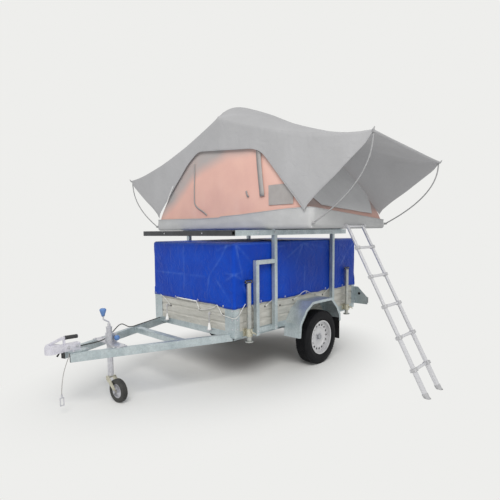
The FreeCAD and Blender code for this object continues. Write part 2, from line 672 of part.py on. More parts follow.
def rack_posts():
    """Four posts from the chassis to the rails. The front pair carries a goose-neck guard."""
    front, front_bore = upright(FRONT_POST_X, POST_FOOT, RACK_BOTTOM)
    guard, guard_bore = upright(GUARD_POST_X, POST_FOOT - 15, 1162)
    guard_cap = block(GUARD_POST_X - 20, GUARD_POST_X + 20, -POST_OUT, -POST_IN, 1161, 1165)
    arm = block(GUARD_POST_X + 20, FRONT_POST_X - 20, -POST_OUT, -POST_IN, 1125, 1165)
    arm = arm.cut(block(GUARD_POST_X, FRONT_POST_X, -POST_OUT + TUBE_WALL, -POST_IN - TUBE_WALL, 1128, 1162))
    base = block(GUARD_POST_X - 26, FRONT_POST_X + 26, -POST_IN - 0.5, -BOX_HALF, 470, 515)
    base = base.cut(block(GUARD_POST_X - 20, FRONT_POST_X + 20, -POST_IN + TUBE_WALL, -BOX_HALF, 465, 510))
    front_unit = fuse([front.cut(front_bore), guard.cut(guard_bore), guard_cap, arm, base])
    rear, rear_bore = upright(REAR_POST_X, POST_FOOT, RACK_BOTTOM)
    pad = block(REAR_POST_X - 60, REAR_POST_X + 60, -POST_IN - 0.5, -BOX_HALF, 470, 515)
    pad = pad.cut(block(REAR_POST_X - 54, REAR_POST_X + 54, -POST_IN + TUBE_WALL, -BOX_HALF, 465, 510))
    rear_unit = fuse([rear.cut(rear_bore), pad])
    return group([on_side(unit, sign) for sign in (-1, 1) for unit in (front_unit, rear_unit)])


def tent_channels():
    """Two mounting channels under the tent, across the side rails."""
    bars = []
    for x in (TENT_FRONT + 40, TENT_REAR - 90):
        bars.append(block(x, x + 45, -RACK_HALF_WIDTH, RACK_HALF_WIDTH, RACK_TOP, TENT_BOTTOM))
    return group(bars)


# Prop stands
PROP_OFFSETS = (("front", 145.0), ("rear", BOX_LENGTH - 238.0))
PROP_Y = BOX_HALF + 40
PROP_RADIUS = 21.0
PROP_FOOT = 415.0
PROP_TOP = 955.0


def prop_leg(x, side):
    """Tube with a foot plate and a loop handle, raised in its clamp."""
    y = side * PROP_Y
    tube = pipe(V(x, y, up(PROP_FOOT + 10)), V(x, y, up(PROP_TOP)), PROP_RADIUS, 3)
    foot = rod(V(x, y, up(PROP_FOOT)), V(x, y, up(PROP_FOOT + 10)), 38)
    cap = rod(V(x, y, up(PROP_TOP)), V(x, y, up(PROP_TOP + 8)), PROP_RADIUS)
    half = 46
    loop = block(x - half, x + half, y - 5, y + 5, PROP_TOP + 8, PROP_TOP + 34)
    loop = loop.cut(block(x - half + 9, x + half - 9, y - 9, y + 9, PROP_TOP + 16, PROP_TOP + 26))
    return fuse([tube, foot, cap, loop])


def prop_clamps():
    clamps = []
    for _, offset in PROP_OFFSETS:
        for _, side in SIDES:
            x = BOX_FRONT + offset
            collar = Part.makeCylinder(31, 70, V(x, -PROP_Y, up(470)))
            back = block(x - 45, x + 45, -BOX_HALF - 12, -BOX_HALF, 470, 540)
            lug = block(x - 20, x + 20, -PROP_Y, -BOX_HALF - 5, 478, 532)
            hole = Part.makeCylinder(PROP_RADIUS + 0.5, 100, V(x, -PROP_Y, up(460)))
            clamps.append(on_side(fuse([collar, back, lug]).cut(hole), side))
    return group(clamps)


# Rear lamps
LAMP_X = BOX_REAR + 25
LAMP_INNER = GATE_HALF + 8


def rear_lamp_brackets():
    """Folded plates that reach out behind the rear corners and carry the lamps."""
    brackets = []
    for _, side in SIDES:
        outline = [V(LAMP_X, -LAMP_INNER, up(512)), V(LAMP_X, -LAMP_INNER, up(724)),
                   V(LAMP_X, -BOX_HALF - 44, up(724)), V(LAMP_X, -BOX_HALF - 176, up(600)),
                   V(LAMP_X, -BOX_HALF - 176, up(512))]
        face = plate(outline, V(4, 0, 0))
        hole = rod(V(LAMP_X - 5, -BOX_HALF - 62, up(640)), V(LAMP_X + 10, -BOX_HALF - 62, up(640)), 14)
        web = block(BOX_REAR, LAMP_X + 1, -BOX_HALF - 2, -BOX_HALF + 12, 512, 724)
        brackets.append(on_side(fuse([face, web]).cut(hole), side))
    return group(brackets)


def rear_lamps():
    lamps = []
    for _, side in SIDES:
        lamp = block(LAMP_X + 4, LAMP_X + 44, -BOX_HALF - 165, -LAMP_INNER - 2, 525, 595)
        lamps.append(on_side(lamp, side))
    return group(lamps)


# Ladder sizes, which the tent's base and skirt use too
LADDER_X = BOX_FRONT + LADDER_FROM_BOX
LADDER_HINGE = V(LADDER_X, TENT_NEAR - 34, up(1472))
LADDER_FOOT = V(LADDER_X, LADDER_FOOT_Y, up(0))
LADDER_RUNGS = (232.0, 529.0, 826.0, 1123.0, 1420.0)
LADDER_RADII = (15.0, 17.5, 20.0, 22.5)
LADDER_OVERLAP = 40.0
LUG_OFFSET = LADDER_TRACK / 2 + 28

# Roof tent
BASE_THICKNESS = 30.0
BASE_SHEET = 4.0
BASE_TOP = TENT_BOTTOM + BASE_THICKNESS
SKIRT_SKIN = 12.0
FABRIC = 8.0


def base_panel(y0, y1):
    """One half of the folding base: a sheet on a perimeter frame with two ribs below."""
    panel = block(TENT_FRONT, TENT_REAR, y0, y1, TENT_BOTTOM, BASE_TOP)
    rib = 30
    bays = []
    inside = (TENT_WIDTH - 2 * rib - 2 * rib) / 3
    for i in range(3):
        x = TENT_FRONT + rib + i * (inside + rib)
        bays.append(block(x, x + inside, y0 + rib, y1 - rib, TENT_BOTTOM - 1, BASE_TOP - BASE_SHEET))
    return panel.cut(group(bays))


def tent_base():
    """Two panels that meet at the middle hinge."""
    hinges = []
    for x in (TENT_FRONT + 120, TENT_MIDDLE_X, TENT_REAR - 120):
        hinges.append(rod(V(x - 40, TENT_MIDDLE_Y, up(BASE_TOP - 6)), V(x + 40, TENT_MIDDLE_Y, up(BASE_TOP - 6)), 6))
    return fuse([base_panel(TENT_NEAR, TENT_MIDDLE_Y - 2), base_panel(TENT_MIDDLE_Y + 2, TENT_FAR)] + hinges)


SKIRT_FRONT_TOPS = (1639.0, 1591.0, 1581.0, 1587.0)
SKIRT_REAR_TOPS = (1543.0, 1575.0, 1575.0, 1585.0)


def tent_skirt():
    """Cover skirt around the base, open above and below, with slots for the ladder's lugs. Its top edge
    climbs to the front corner beside the ladder and steps down at the middle of the long sides."""
    out = SKIRT_SKIN
    low = up(TENT_BOTTOM)
    x0, x1 = TENT_FRONT - out, TENT_REAR + out
    y0, y1 = TENT_NEAR - out, TENT_FAR + out
    walls = []
    for x, tops in ((x0, SKIRT_FRONT_TOPS), (TENT_REAR, SKIRT_REAR_TOPS)):
        near, before, after, far = tops
        walls.append(plate([V(x, y0, low), V(x, y1, low), V(x, y1, up(far)), V(x, TENT_MIDDLE_Y, up(after)),
                            V(x, TENT_MIDDLE_Y - 1, up(before)), V(x, y0, up(near))], V(out, 0, 0)))
    for y, front, rear in ((y0, SKIRT_FRONT_TOPS[0], SKIRT_REAR_TOPS[0]), (TENT_FAR, SKIRT_FRONT_TOPS[3],
                                                                          SKIRT_REAR_TOPS[3])):
        walls.append(plate([V(x0, y, low), V(x1, y, low), V(x1, y, up(rear)), V(x0, y, up(front))], V(0, out, 0)))
    frame = fuse(walls)
    for side in (-1, 1):
        x = LADDER_X + side * LUG_OFFSET
        frame = frame.cut(block(x - 5, x + 5, TENT_NEAR - out - 1, TENT_NEAR, TENT_BOTTOM - 10, BASE_TOP + 1))
    return frame


BODY_TOP = 1200.0
BODY_PROFILE = ((-1160, 0), (-640, 610), (-330, 900), (-120, 1085), (0, BODY_TOP), (120, 1085), (330, 900),
                (640, 610), (1160, 0))


def tent_profile(inset, drop, x0, x1):
    """Prism across the tent: side outline in Y and height, extruded along X."""
    points = []
    for y, rise in BODY_PROFILE:
        scale = (1160 - inset) / 1160
        points.append(V(x0, TENT_MIDDLE_Y + y * scale, up(BASE_TOP) + rise * (BODY_TOP - drop) / BODY_TOP))
    return plate(points, V(x1 - x0, 0, 0))


def tent_arch(inset, y0, y1):
    """Prism along the tent: rounded arch outline in X and height, extruded along Y."""
    x0 = TENT_FRONT + inset
    x1 = TENT_REAR - inset
    base = up(BASE_TOP)
    top = base + BODY_TOP - inset
    shoulder = base + 900
    start = [V(x0, y0, base), V(x0, y0, shoulder)]
    end = [V(x1, y0, shoulder), V(x1, y0, base)]
    left = Part.Arc(start[1], V(x0 + 60, y0, shoulder + 130), V(x0 + 230, y0, top - 22)).toShape()
    crown = Part.Arc(V(x0 + 230, y0, top - 22), V(TENT_MIDDLE_X, y0, top),
                     V(x1 - 230, y0, top - 22)).toShape()
    right = Part.Arc(V(x1 - 230, y0, top - 22), V(x1 - 60, y0, shoulder + 130), end[0]).toShape()
    edges = [Part.LineSegment(start[0], start[1]).toShape(), left, crown, right,
             Part.LineSegment(end[0], end[1]).toShape(), Part.LineSegment(end[1], start[0]).toShape()]
    return Part.Face(Part.Wire(edges)).extrude(V(0, y1 - y0, 0))


def tent_body():
    """Hollow tent body with a door on each long side and an end door above the ladder."""
    outer = tent_profile(4, 0, TENT_FRONT + 4, TENT_REAR - 4).common(tent_arch(4, TENT_NEAR, TENT_FAR))
    inner = tent_profile(4 + 2 * FABRIC, FABRIC, TENT_FRONT - 20, TENT_REAR + 20)
    inner = inner.common(tent_arch(4 + FABRIC, TENT_NEAR - 5, TENT_FAR + 5))
    doorway = block(TENT_MIDDLE_X - 330, TENT_MIDDLE_X + 330, TENT_NEAR - 20, TENT_MIDDLE_Y - 560,
                    BASE_TOP + 60, BASE_TOP + 480)
    return outer.cut(inner).cut(doorway)


FLY_EAVE = 2600.0
FLY_CROWN = 190.0
FLY_FRONT = TENT_FRONT - 20
FLY_REAR = TENT_REAR + 20
FLY_SKIN = 6.0
CANOPY_REACH = 1735.0
CANOPY_TIPS = {-1: (2185.0, 2095.0), 1: (2114.0, 2050.0)}
FLY_STATIONS = (0.0, 0.2, 0.4, 0.6, 0.8, 0.93, 1.0)
CROSS_SHARES = (0.0, 0.04, 0.12, 0.28, 0.5, 0.72, 0.88, 0.96, 1.0)
HEM_LOW = 1600.0
HEM_LOW_OFFSET = TENT_LENGTH / 2 - 60
HEM_RISE = ((1, 1), (0.9, 0.845), (0.735, 0.7), (0.46, 0.455), (0.21, 0.257), (0.03, 0.08), (0, 0))
HEM_ARCH = ((-0.975, 1640), (-0.557, 2170), (-0.448, 2220), (0.297, 2300), (0.461, 2190), (0.985, 1660))


def fly_height(side, s, t):
    """Height of the fly's outer face: s runs from the ridge to a canopy bar, t from front to rear."""
    front, rear = CANOPY_TIPS[side]
    tip = front + (rear - front) * t
    crown = FLY_CROWN * (1 - s) ** 0.75 * (1 - abs(2 * t - 1) ** 3.6)
    return tip + (FLY_EAVE - tip) * (1 - s) ** 1.55 + crown


def fly_section(side, s):
    """Closed outline of the roof at a station: the crowned sheet and its underside."""
    y = TENT_MIDDLE_Y + side * s * CANOPY_REACH
    top = [V(FLY_FRONT + t * (FLY_REAR - FLY_FRONT), y, up(fly_height(side, s, t))) for t in CROSS_SHARES]
    return top + [point - V(0, 0, FLY_SKIN) for point in reversed(top)]


def fly_flap(x, t):
    """Side flap: follows the eave above, hangs to the base's corners, with a wide arch between them."""

    def spot(offset, height):
        return V(x, TENT_MIDDLE_Y + offset, up(height))

    def outer_hem(side):
        top = fly_height(side, 1, t) - 1
        span = CANOPY_REACH - HEM_LOW_OFFSET
        return [spot(side * (HEM_LOW_OFFSET + along * span), HEM_LOW + rise * (top - HEM_LOW))
                for along, rise in HEM_RISE]

    arch = [spot(share * HEM_LOW_OFFSET, height) for share, height in HEM_ARCH]
    eave = [spot(s * CANOPY_REACH, fly_height(1, s, t) - 1) for s in reversed(FLY_STATIONS[:-1])]
    eave += [spot(-s * CANOPY_REACH, fly_height(-1, s, t) - 1) for s in FLY_STATIONS[1:-1]]
    return plate(outer_hem(-1) + arch + outer_hem(1)[::-1] + eave, V(FLY_SKIN, 0, 0))


def tent_fly():
    """Roof stretched between the ridge and the two canopy bars, with a flap down each side."""
    near = [fly_section(-1, s) for s in reversed(FLY_STATIONS)]
    far = [fly_section(1, s) for s in FLY_STATIONS[1:]]
    return fuse([faceted(near + far), fly_flap(FLY_FRONT, 0), fly_flap(FLY_REAR - FLY_SKIN, 1)])


def tent_hoops():
    """Inner arches: upright at the middle, and one leaning over each half."""
    hoops = []
    inset = 44
    x0 = TENT_FRONT + inset
    x1 = TENT_REAR - inset
    for lean, height in ((0, 1050), (-1, 730), (1, 730)):
        foot_y = TENT_MIDDLE_Y + lean * 60
        top_y = TENT_MIDDLE_Y + lean * 440
        top = V(x0 + 110, top_y, up(BASE_TOP) + height)
        legs = [V(x0, foot_y, up(BASE_TOP)), V(x0, foot_y + (top_y - foot_y) * 0.9, up(BASE_TOP) + height * 0.9), top]
        span = [V(x1 - 110, top_y, top.z), V(x1, legs[1].y, legs[1].z), V(x1, foot_y, up(BASE_TOP))]
        path = legs + span
        below = block(TENT_FRONT, TENT_REAR, TENT_NEAR, TENT_FAR, TENT_BOTTOM, BASE_TOP)
        hoops.append(mitred(path, 8).cut(below))
    return group(hoops)


ROD_FIT = 0.3
ROD_ROOT = 1500.0
ROD_RISES = (0.0, 0.1, 0.24, 0.4, 0.6, 0.8, 0.93, 1.0)


def canopy_rods():
    """Four sprung rods that bow from the base's corners out and up to the canopy's corners."""
    rods = []
    for sign in (-1, 1):
        face_y = TENT_LENGTH / 2 + SKIRT_SKIN + ROD_FIT
        root = face_y + 8
        reach = CANOPY_REACH - 9
        for x, t in ((TENT_FRONT - 4, 0), (TENT_REAR + 4, 1)):
            top = fly_height(sign, 1, t)
            path = []
            for rise in ROD_RISES:
                offset = root + (reach - root) * (1 - (1 - rise) ** 2.2)
                path.append(V(x, TENT_MIDDLE_Y + sign * offset, up(ROD_ROOT + rise * (top - ROD_ROOT))))
            ferrule = rod(V(x, TENT_MIDDLE_Y + sign * face_y, up(ROD_ROOT)),
                          V(x, TENT_MIDDLE_Y + sign * (face_y + 24), up(ROD_ROOT)), 9)
            cloth = faceted([fly_section(sign, FLY_STATIONS[-2]), fly_section(sign, 1)][::sign])
            cloth.translate(V(0, 0, -0.15))
            sky = block(x - 50, x + 50, path[-1].y - 60, path[-1].y + 60, top - 3, top + 60)
            rods.append(fuse([ferrule, mitred(path, 5)]).cut(sky).cut(cloth))
    return group(rods)


# Ladder


def ladder_frame():
    """Unit vector down the ladder and its whole length."""
    along = LADDER_FOOT - LADDER_HINGE
    length = along.Length
    along.normalize()
    return along, length


COLLAR_WALL = 5.0
COLLAR_HALF = 14.0


def ladder_block(centre, half, start, end):
    """Square block along the ladder round one of its tubes."""
    along, _ = ladder_frame()
    across = V(1, 0, 0)
    out = across.cross(along)
    foot = centre + along * start
    corners = [foot + across * (s * half) + out * (t * half) for s, t in ((-1, -1), (1, -1), (1, 1), (-1, 1))]
    return plate(corners, along * (end - start))


def ladder_section(index):
    """One telescoping section: two tubes, their rungs and collars; the lowest has the feet."""
    along, length = ladder_frame()
    starts = (0.0, LADDER_RUNGS[2] - COLLAR_HALF, LADDER_RUNGS[3] - COLLAR_HALF, LADDER_RUNGS[4] - COLLAR_HALF)
    ends = (LADDER_RUNGS[2] + LADDER_OVERLAP, LADDER_RUNGS[3] + LADDER_OVERLAP,
            LADDER_RUNGS[4] + LADDER_OVERLAP, length - 16)
    rungs = (LADDER_RUNGS[:2], LADDER_RUNGS[2:3], LADDER_RUNGS[3:4], LADDER_RUNGS[4:5])[index]
    radius = LADDER_RADII[index]
    collar = radius + COLLAR_WALL
    across = V(1, 0, 0)
    pieces = []
    bores = []
    for side in (-1, 1):
        centre = LADDER_HINGE + across * (side * LADDER_TRACK / 2)
        pieces.append(rod(centre + along * starts[index], centre + along * ends[index], radius))
        pieces += [ladder_block(centre, collar, at - COLLAR_HALF, at + COLLAR_HALF) for at in rungs]
        bores.append(rod(centre + along * (starts[index] - 20), centre + along * (ends[index] + 20), radius - 2.0))
    reach = LADDER_TRACK / 2 - collar + 1
    for at in rungs:
        middle = LADDER_HINGE + along * at
        pieces.append(rod(middle - across * reach, middle + across * reach, 13))
    body = fuse(pieces).cut(group(bores))
    if index == 3:
        shoes = []
        for side in (-1, 1):
            tip = LADDER_HINGE + across * (side * LADDER_TRACK / 2) + along * length
            shoes.append(rod(tip - along * 30, tip - along * 12, radius - 1.9))
            shoe = rod(tip - along * 34, tip + along * 26, radius + 3)
            shoe = shoe.cut(rod(tip - along * 40, tip - along * 8, radius))
            shoe = shoe.common(block(LADDER_X - 400, LADDER_X + 400, LADDER_FOOT_Y - 300, LADDER_FOOT_Y + 300, 0, 300))
            shoes.append(shoe)
        body = fuse([body] + shoes)
    if index == 0:
        hub = across * (LUG_OFFSET - 4.3)
        body = body.fuse(rod(LADDER_HINGE - hub, LADDER_HINGE + hub, 11))
    return body


def ladder_bracket():
    """Two lugs on the base's end that hold the ladder's hinge rod."""
    lugs = []
    for side in (-1, 1):
        x = LADDER_X + side * LUG_OFFSET
        lugs.append(block(x - 4, x + 4, TENT_NEAR - 50, TENT_NEAR, TENT_BOTTOM - 4, BASE_TOP))
    return group(lugs)


# Cables
def bent_tube(points, radius):
    """Tube along straight runs joined by tangent arcs, each as large as its two runs allow."""
    edges = []
    radii = []
    previous = points[0]
    for i in range(1, len(points) - 1):
        back = points[i - 1] - points[i]
        ahead = points[i + 1] - points[i]
        shorter = min(back.Length, ahead.Length)
        turn = math.pi - back.getAngle(ahead)
        reach = 0.45 * shorter
        arc_radius = reach / math.tan(turn / 2)
        radii.append(round(arc_radius, 1))
        back.normalize()
        ahead.normalize()
        start = points[i] + back * reach
        end = points[i] + ahead * reach
        inward = back + ahead
        inward.normalize()
        depth = math.sqrt(reach ** 2 + arc_radius ** 2) - arc_radius
        edges.append(Part.LineSegment(previous, start).toShape())
        edges.append(Part.Arc(start, points[i] + inward * depth, end).toShape())
        previous = end
    edges.append(Part.LineSegment(previous, points[-1]).toShape())
    path = Part.Wire(edges)
    section = Part.Face(Part.Wire(Part.Circle(points[0], points[1] - points[0], radius).toShape()))
    tube = path.makePipe(section)
    expected = math.pi * radius ** 2 * path.Length
    print("tube length", round(path.Length, 1), "radii", radii, "volume ratio", round(tube.Volume / expected, 4))
    return tube


SAFETY_ROUTE = ((140, -18, 496.8), (129, -18, 462), (113, -18, 424), (96, -18, 382), (81, -18, 336),
                (71, -18, 288), (64, -18, 240), (60, -18, 202), (59, -18, 172))


def safety_cable():
    return bent_tube([V(x, y, up(z)) for x, y, z in SAFETY_ROUTE], 3.0)


def safety_carabiner():
    """Oval snap hook, standing in the XZ plane, with the cable's ferrule above it."""
    x, y, top = SAFETY_ROUTE[-1]
    ferrule = rod(V(x, y, up(top)), V(x, y, up(top - 26)), 6)
    low = top - 26
    outer = block(x - 17, x + 17, y - 4, y + 4, low - 66, low + 2)
    inner = block(x - 10, x + 10, y - 6, y + 6, low - 59, low - 6)
    return fuse([ferrule, outer.cut(inner)])


LIGHT_ROUTE = ((66, 44, 468), (84, 46, 487), (104, 45, 509), (126, 44, 515), (205, 44, 512), (265, 42, 514),
               (325, 48, 512), (390, 47, 513), (450, 48, 520), (500, 58, 536), (560, 82, 564), (620, 124, 588),
               (680, 176, 596), (740, 236, 584), (800, 296, 552), (860, 338, 518), (925, 372, 504), (1030, 422, 503),
               (1140, 458, 504), (1250, 508, 503), (1362, 543, 504))


def light_cable():
    return bent_tube([V(x, y, up(z)) for x, y, z in LIGHT_ROUTE], 4.5)


save("drawbar_rail_left", drawbar_rail())
save("drawbar_rail_right", mirrored(drawbar_rail()))
save("drawbar_crossbar", drawbar_crossbar())
save("coupling_head", coupling_head())
save("coupling_handle", coupling_handle())
save("jockey_clamp", jockey_clamp())
save("jockey_clamp_knob", jockey_clamp_knob())
save("jockey_outer_tube", jockey_outer_tube())
save("jockey_crank", jockey_crank())
save("jockey_inner_tube", jockey_inner_tube())
save("jockey_fork", jockey_fork())
save("jockey_rim", jockey_rim())
save("jockey_tyre", jockey_tyre())
save("chassis_frame", chassis_frame())
save("axle_beam", axle_beam())
save("axle_arms", axle_arms())
for side_name, side_sign in SIDES:
    hub_place = V(AXLE_X, -WHEEL_Y, up(AXLE_HEIGHT))
    placed_rim = wheel_rim()
    placed_rim.translate(hub_place)
    placed_tyre = tyre()
    placed_tyre.translate(hub_place)
    save("wheel_rim_" + side_name, on_side(placed_rim, side_sign))
    save("tyre_" + side_name, on_side(placed_tyre, side_sign))
    save("mudguard_" + side_name, on_side(mudguard(), side_sign))
    save("wall_" + side_name, on_side(wall_side(), side_sign))
save("mud_flaps", group([mud_flap(), mirrored(mud_flap())]))
save("floor_panel", floor_panel())
save("sills", sills())
save("wall_front", wall_front())
save("tailgate", tailgate())
save("tailgate_hinges", tailgate_hinges())
save("corner_posts", corner_posts())
save("front_rod_catches", front_rod_catches())
save("tarp", tarp())
save("tarp_frame", tarp_frame())
save("rack_side_rails", rack_side_rails())
save("rack_cross_rails", rack_cross_rails())
save("rack_posts", rack_posts())
save("tent_channels", tent_channels())
for place_name, place_offset in PROP_OFFSETS:
    for side_name, side_sign in SIDES:
        save("prop_leg_" + place_name + "_" + side_name, prop_leg(BOX_FRONT + place_offset, side_sign))
save("prop_clamps", prop_clamps())
save("rear_lamp_brackets", rear_lamp_brackets())
save("rear_lamps", rear_lamps())
save("tent_base", tent_base())
save("tent_skirt", tent_skirt())
save("tent_body", tent_body())
save("tent_fly", tent_fly())
save("tent_hoops", tent_hoops())
save("canopy_rods", canopy_rods())
for section_number in range(4):
    save("ladder_section_" + str(section_number + 1), ladder_section(section_number))
save("ladder_bracket", ladder_bracket())
save("safety_cable", safety_cable())
save("safety_carabiner", safety_carabiner())
save("light_cable", light_cable())
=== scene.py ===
import math

import bmesh
import bpy
from mathutils import Matrix, Vector, noise


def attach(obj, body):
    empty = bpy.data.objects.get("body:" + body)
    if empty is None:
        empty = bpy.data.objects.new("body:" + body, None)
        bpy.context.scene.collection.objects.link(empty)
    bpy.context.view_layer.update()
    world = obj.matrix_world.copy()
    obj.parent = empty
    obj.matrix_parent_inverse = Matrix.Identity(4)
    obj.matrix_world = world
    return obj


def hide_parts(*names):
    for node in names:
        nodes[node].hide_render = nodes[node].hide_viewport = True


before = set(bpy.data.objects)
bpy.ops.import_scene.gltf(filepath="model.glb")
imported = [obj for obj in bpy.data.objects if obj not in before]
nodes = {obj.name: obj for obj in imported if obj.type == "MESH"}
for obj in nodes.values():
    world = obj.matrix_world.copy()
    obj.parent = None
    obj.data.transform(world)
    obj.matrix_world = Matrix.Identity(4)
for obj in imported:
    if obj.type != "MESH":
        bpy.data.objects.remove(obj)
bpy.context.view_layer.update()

# Studio. The trailer stands on a pale paper floor that runs into a paper backdrop, under one large
# soft lamp from the front left and an even room. The camera stands where the photographer stood.
GROUND = -0.530
FLOOR_MIDDLE = (1.9, 0.0)
FLOOR_RADIUS = 14.0
FADE_FROM = 0.55
FADE_TO = 1.30
FADE_REACH = (2.0, 1.25)
PAPER = (0.855, 0.855, 0.838, 1)
FLOOR_COLOUR = (0.745, 0.745, 0.73, 1)
ROOM_LEVEL = 0.62
KEY_PLACE = Vector((-2.6, -4.4, 5.6))
KEY_AIM = Vector((1.9, 0.0, 0.7))
KEY_POWER = 430
KEY_SIZE = 4.2
KEY_COLOUR = (1.0, 0.985, 0.96)
ROOM_COLOUR = (0.97, 0.985, 1.0, 1)
FLOOR_SIDES = 96
CAMERA_PLACE = (-1.185, -3.282, 0.908)
CAMERA_YAW = math.radians(-46.13)
CAMERA_PITCH = math.radians(5.11)
CAMERA_ROLL = math.radians(-0.63)
CAMERA_LENS = 29.85
CAMERA_SHIFT = 0.0358


def add(tree, kind, inputs=None, **settings):
    """One node of a tree: each input is a constant or another node's socket."""
    node = tree.nodes.new(kind)
    for key, value in settings.items():
        setattr(node, key, value)
    for key, value in (inputs or {}).items():
        if isinstance(value, bpy.types.NodeSocket):
            tree.links.new(value, node.inputs[key])
        else:
            node.inputs[key].default_value = value
    return node


def maths(tree, operation, *values):
    """Result of a math node on constants or other nodes' sockets."""
    return add(tree, "ShaderNodeMath", dict(enumerate(values)), operation=operation).outputs[0]


def mixed(tree, share, first, second):
    """Colour between two colours."""
    mix = add(tree, "ShaderNodeMixRGB", {"Fac": share, "Color1": first, "Color2": second})
    return mix.outputs["Color"]


def ranged(tree, value, start=0.0, end=1.0, low=0.0, high=1.0):
    """A value moved from the range start to end into the range low to high."""
    inputs = {"Value": value, "From Min": start, "From Max": end, "To Min": low, "To Max": high}
    return add(tree, "ShaderNodeMapRange", inputs).outputs["Result"]


def shaded(material, colour, roughness, bump, **more):
    """The material with its one shader."""
    inputs = {"Base Color": colour, "Roughness": roughness, "Normal": bump.outputs[0], **more}
    shader = add(material.node_tree, "ShaderNodeBsdfPrincipled", inputs)
    add(material.node_tree, "ShaderNodeOutputMaterial", {"Surface": shader.outputs[0]})
    return material


def seen_directly(tree):
    """One for the camera's rays, also those that come by way of a mirror or glass."""
    rays = add(tree, "ShaderNodeLightPath").outputs
    mirrored = maths(tree, "MAXIMUM", rays["Is Camera Ray"], rays["Is Glossy Ray"])
    return maths(tree, "MAXIMUM", mirrored, rays["Is Transmission Ray"])


def empty_material(name):
    """Material with an empty node tree."""
    material = bpy.data.materials.new(name)
    material.use_nodes = True
    material.node_tree.nodes.clear()
    return material, material.node_tree


def paper_material():
    """Matt paper that takes the shadow and fades into the backdrop's plain colour far out."""
    material, tree = empty_material("studio_paper")
    place = add(tree, "ShaderNodeTexCoord").outputs["Object"]
    away = add(tree, "ShaderNodeVectorMath", {0: place, 1: (*FLOOR_MIDDLE, GROUND)},
               operation="SUBTRACT").outputs[0]
    middle = add(tree, "ShaderNodeVectorMath", {0: away, 1: (*FADE_REACH, 1)}, operation="DIVIDE").outputs[0]
    middle = add(tree, "ShaderNodeVectorMath", {0: middle}, operation="LENGTH").outputs["Value"]
    fade = add(tree, "ShaderNodeMapRange", {"Value": middle, "From Min": FADE_FROM, "From Max": FADE_TO},
               interpolation_type="SMOOTHSTEP").outputs["Result"]
    share = maths(tree, "MULTIPLY", fade, seen_directly(tree))
    matt = add(tree, "ShaderNodeBsdfDiffuse", {"Color": FLOOR_COLOUR})
    plain = add(tree, "ShaderNodeEmission", {"Color": PAPER, "Strength": 1.0})
    mix = add(tree, "ShaderNodeMixShader", {0: share, 1: matt.outputs[0], 2: plain.outputs[0]})
    add(tree, "ShaderNodeOutputMaterial", {"Surface": mix.outputs[0]})
    return material


def build_studio():
    """Floor, room, key lamp and camera."""
    scene = bpy.context.scene
    scene.view_settings.view_transform = "Standard"
    floor = bpy.data.meshes.new("studio_floor")
    rim = [(FLOOR_MIDDLE[0] + FLOOR_RADIUS * math.cos(turn), FLOOR_MIDDLE[1] + FLOOR_RADIUS * math.sin(turn),
            GROUND) for turn in (math.tau * i / FLOOR_SIDES for i in range(FLOOR_SIDES))]
    floor.from_pydata(rim, [], [range(FLOOR_SIDES)])
    floor.materials.append(paper_material())
    floor_object = bpy.data.objects.new("studio_floor", floor)
    scene.collection.objects.link(floor_object)

    world = bpy.data.worlds.new("studio_room")
    scene.world = world
    world.use_nodes = True
    tree = world.node_tree
    tree.nodes.clear()
    room = add(tree, "ShaderNodeBackground", {"Color": ROOM_COLOUR, "Strength": ROOM_LEVEL})
    paper = add(tree, "ShaderNodeBackground", {"Color": PAPER, "Strength": 1.0})
    mix = add(tree, "ShaderNodeMixShader", {0: seen_directly(tree), 1: room.outputs[0], 2: paper.outputs[0]})
    add(tree, "ShaderNodeOutputWorld", {"Surface": mix.outputs[0]})

    key = bpy.data.lights.new("key_lamp", "AREA")
    key.shape = "DISK"
    key.size = KEY_SIZE
    key.energy = KEY_POWER
    key.color = KEY_COLOUR
    key_object = bpy.data.objects.new("key_lamp", key)
    key_object.location = KEY_PLACE
    key_object.rotation_euler = (KEY_AIM - KEY_PLACE).to_track_quat("-Z", "Y").to_euler()
    key_object.visible_glossy = False
    scene.collection.objects.link(key_object)

    camera = bpy.data.cameras.new("camera")
    camera.lens = CAMERA_LENS
    camera.sensor_width = 36
    camera.shift_y = CAMERA_SHIFT
    camera_object = bpy.data.objects.new("camera", camera)
    forward = Vector((-math.sin(CAMERA_YAW) * math.cos(CAMERA_PITCH),
                      math.cos(CAMERA_YAW) * math.cos(CAMERA_PITCH), -math.sin(CAMERA_PITCH)))
    right = Vector((math.cos(CAMERA_YAW), math.sin(CAMERA_YAW), 0))
    upward = right.cross(forward)
    right_rolled = right * math.cos(CAMERA_ROLL) + upward * math.sin(CAMERA_ROLL)
    upward_rolled = upward * math.cos(CAMERA_ROLL) - right * math.sin(CAMERA_ROLL)
    turn = Matrix((right_rolled, upward_rolled, -forward)).transposed()
    camera_object.matrix_world = Matrix.Translation(CAMERA_PLACE) @ turn.to_4x4()
    scene.collection.objects.link(camera_object)
    scene.camera = camera_object


build_studio()

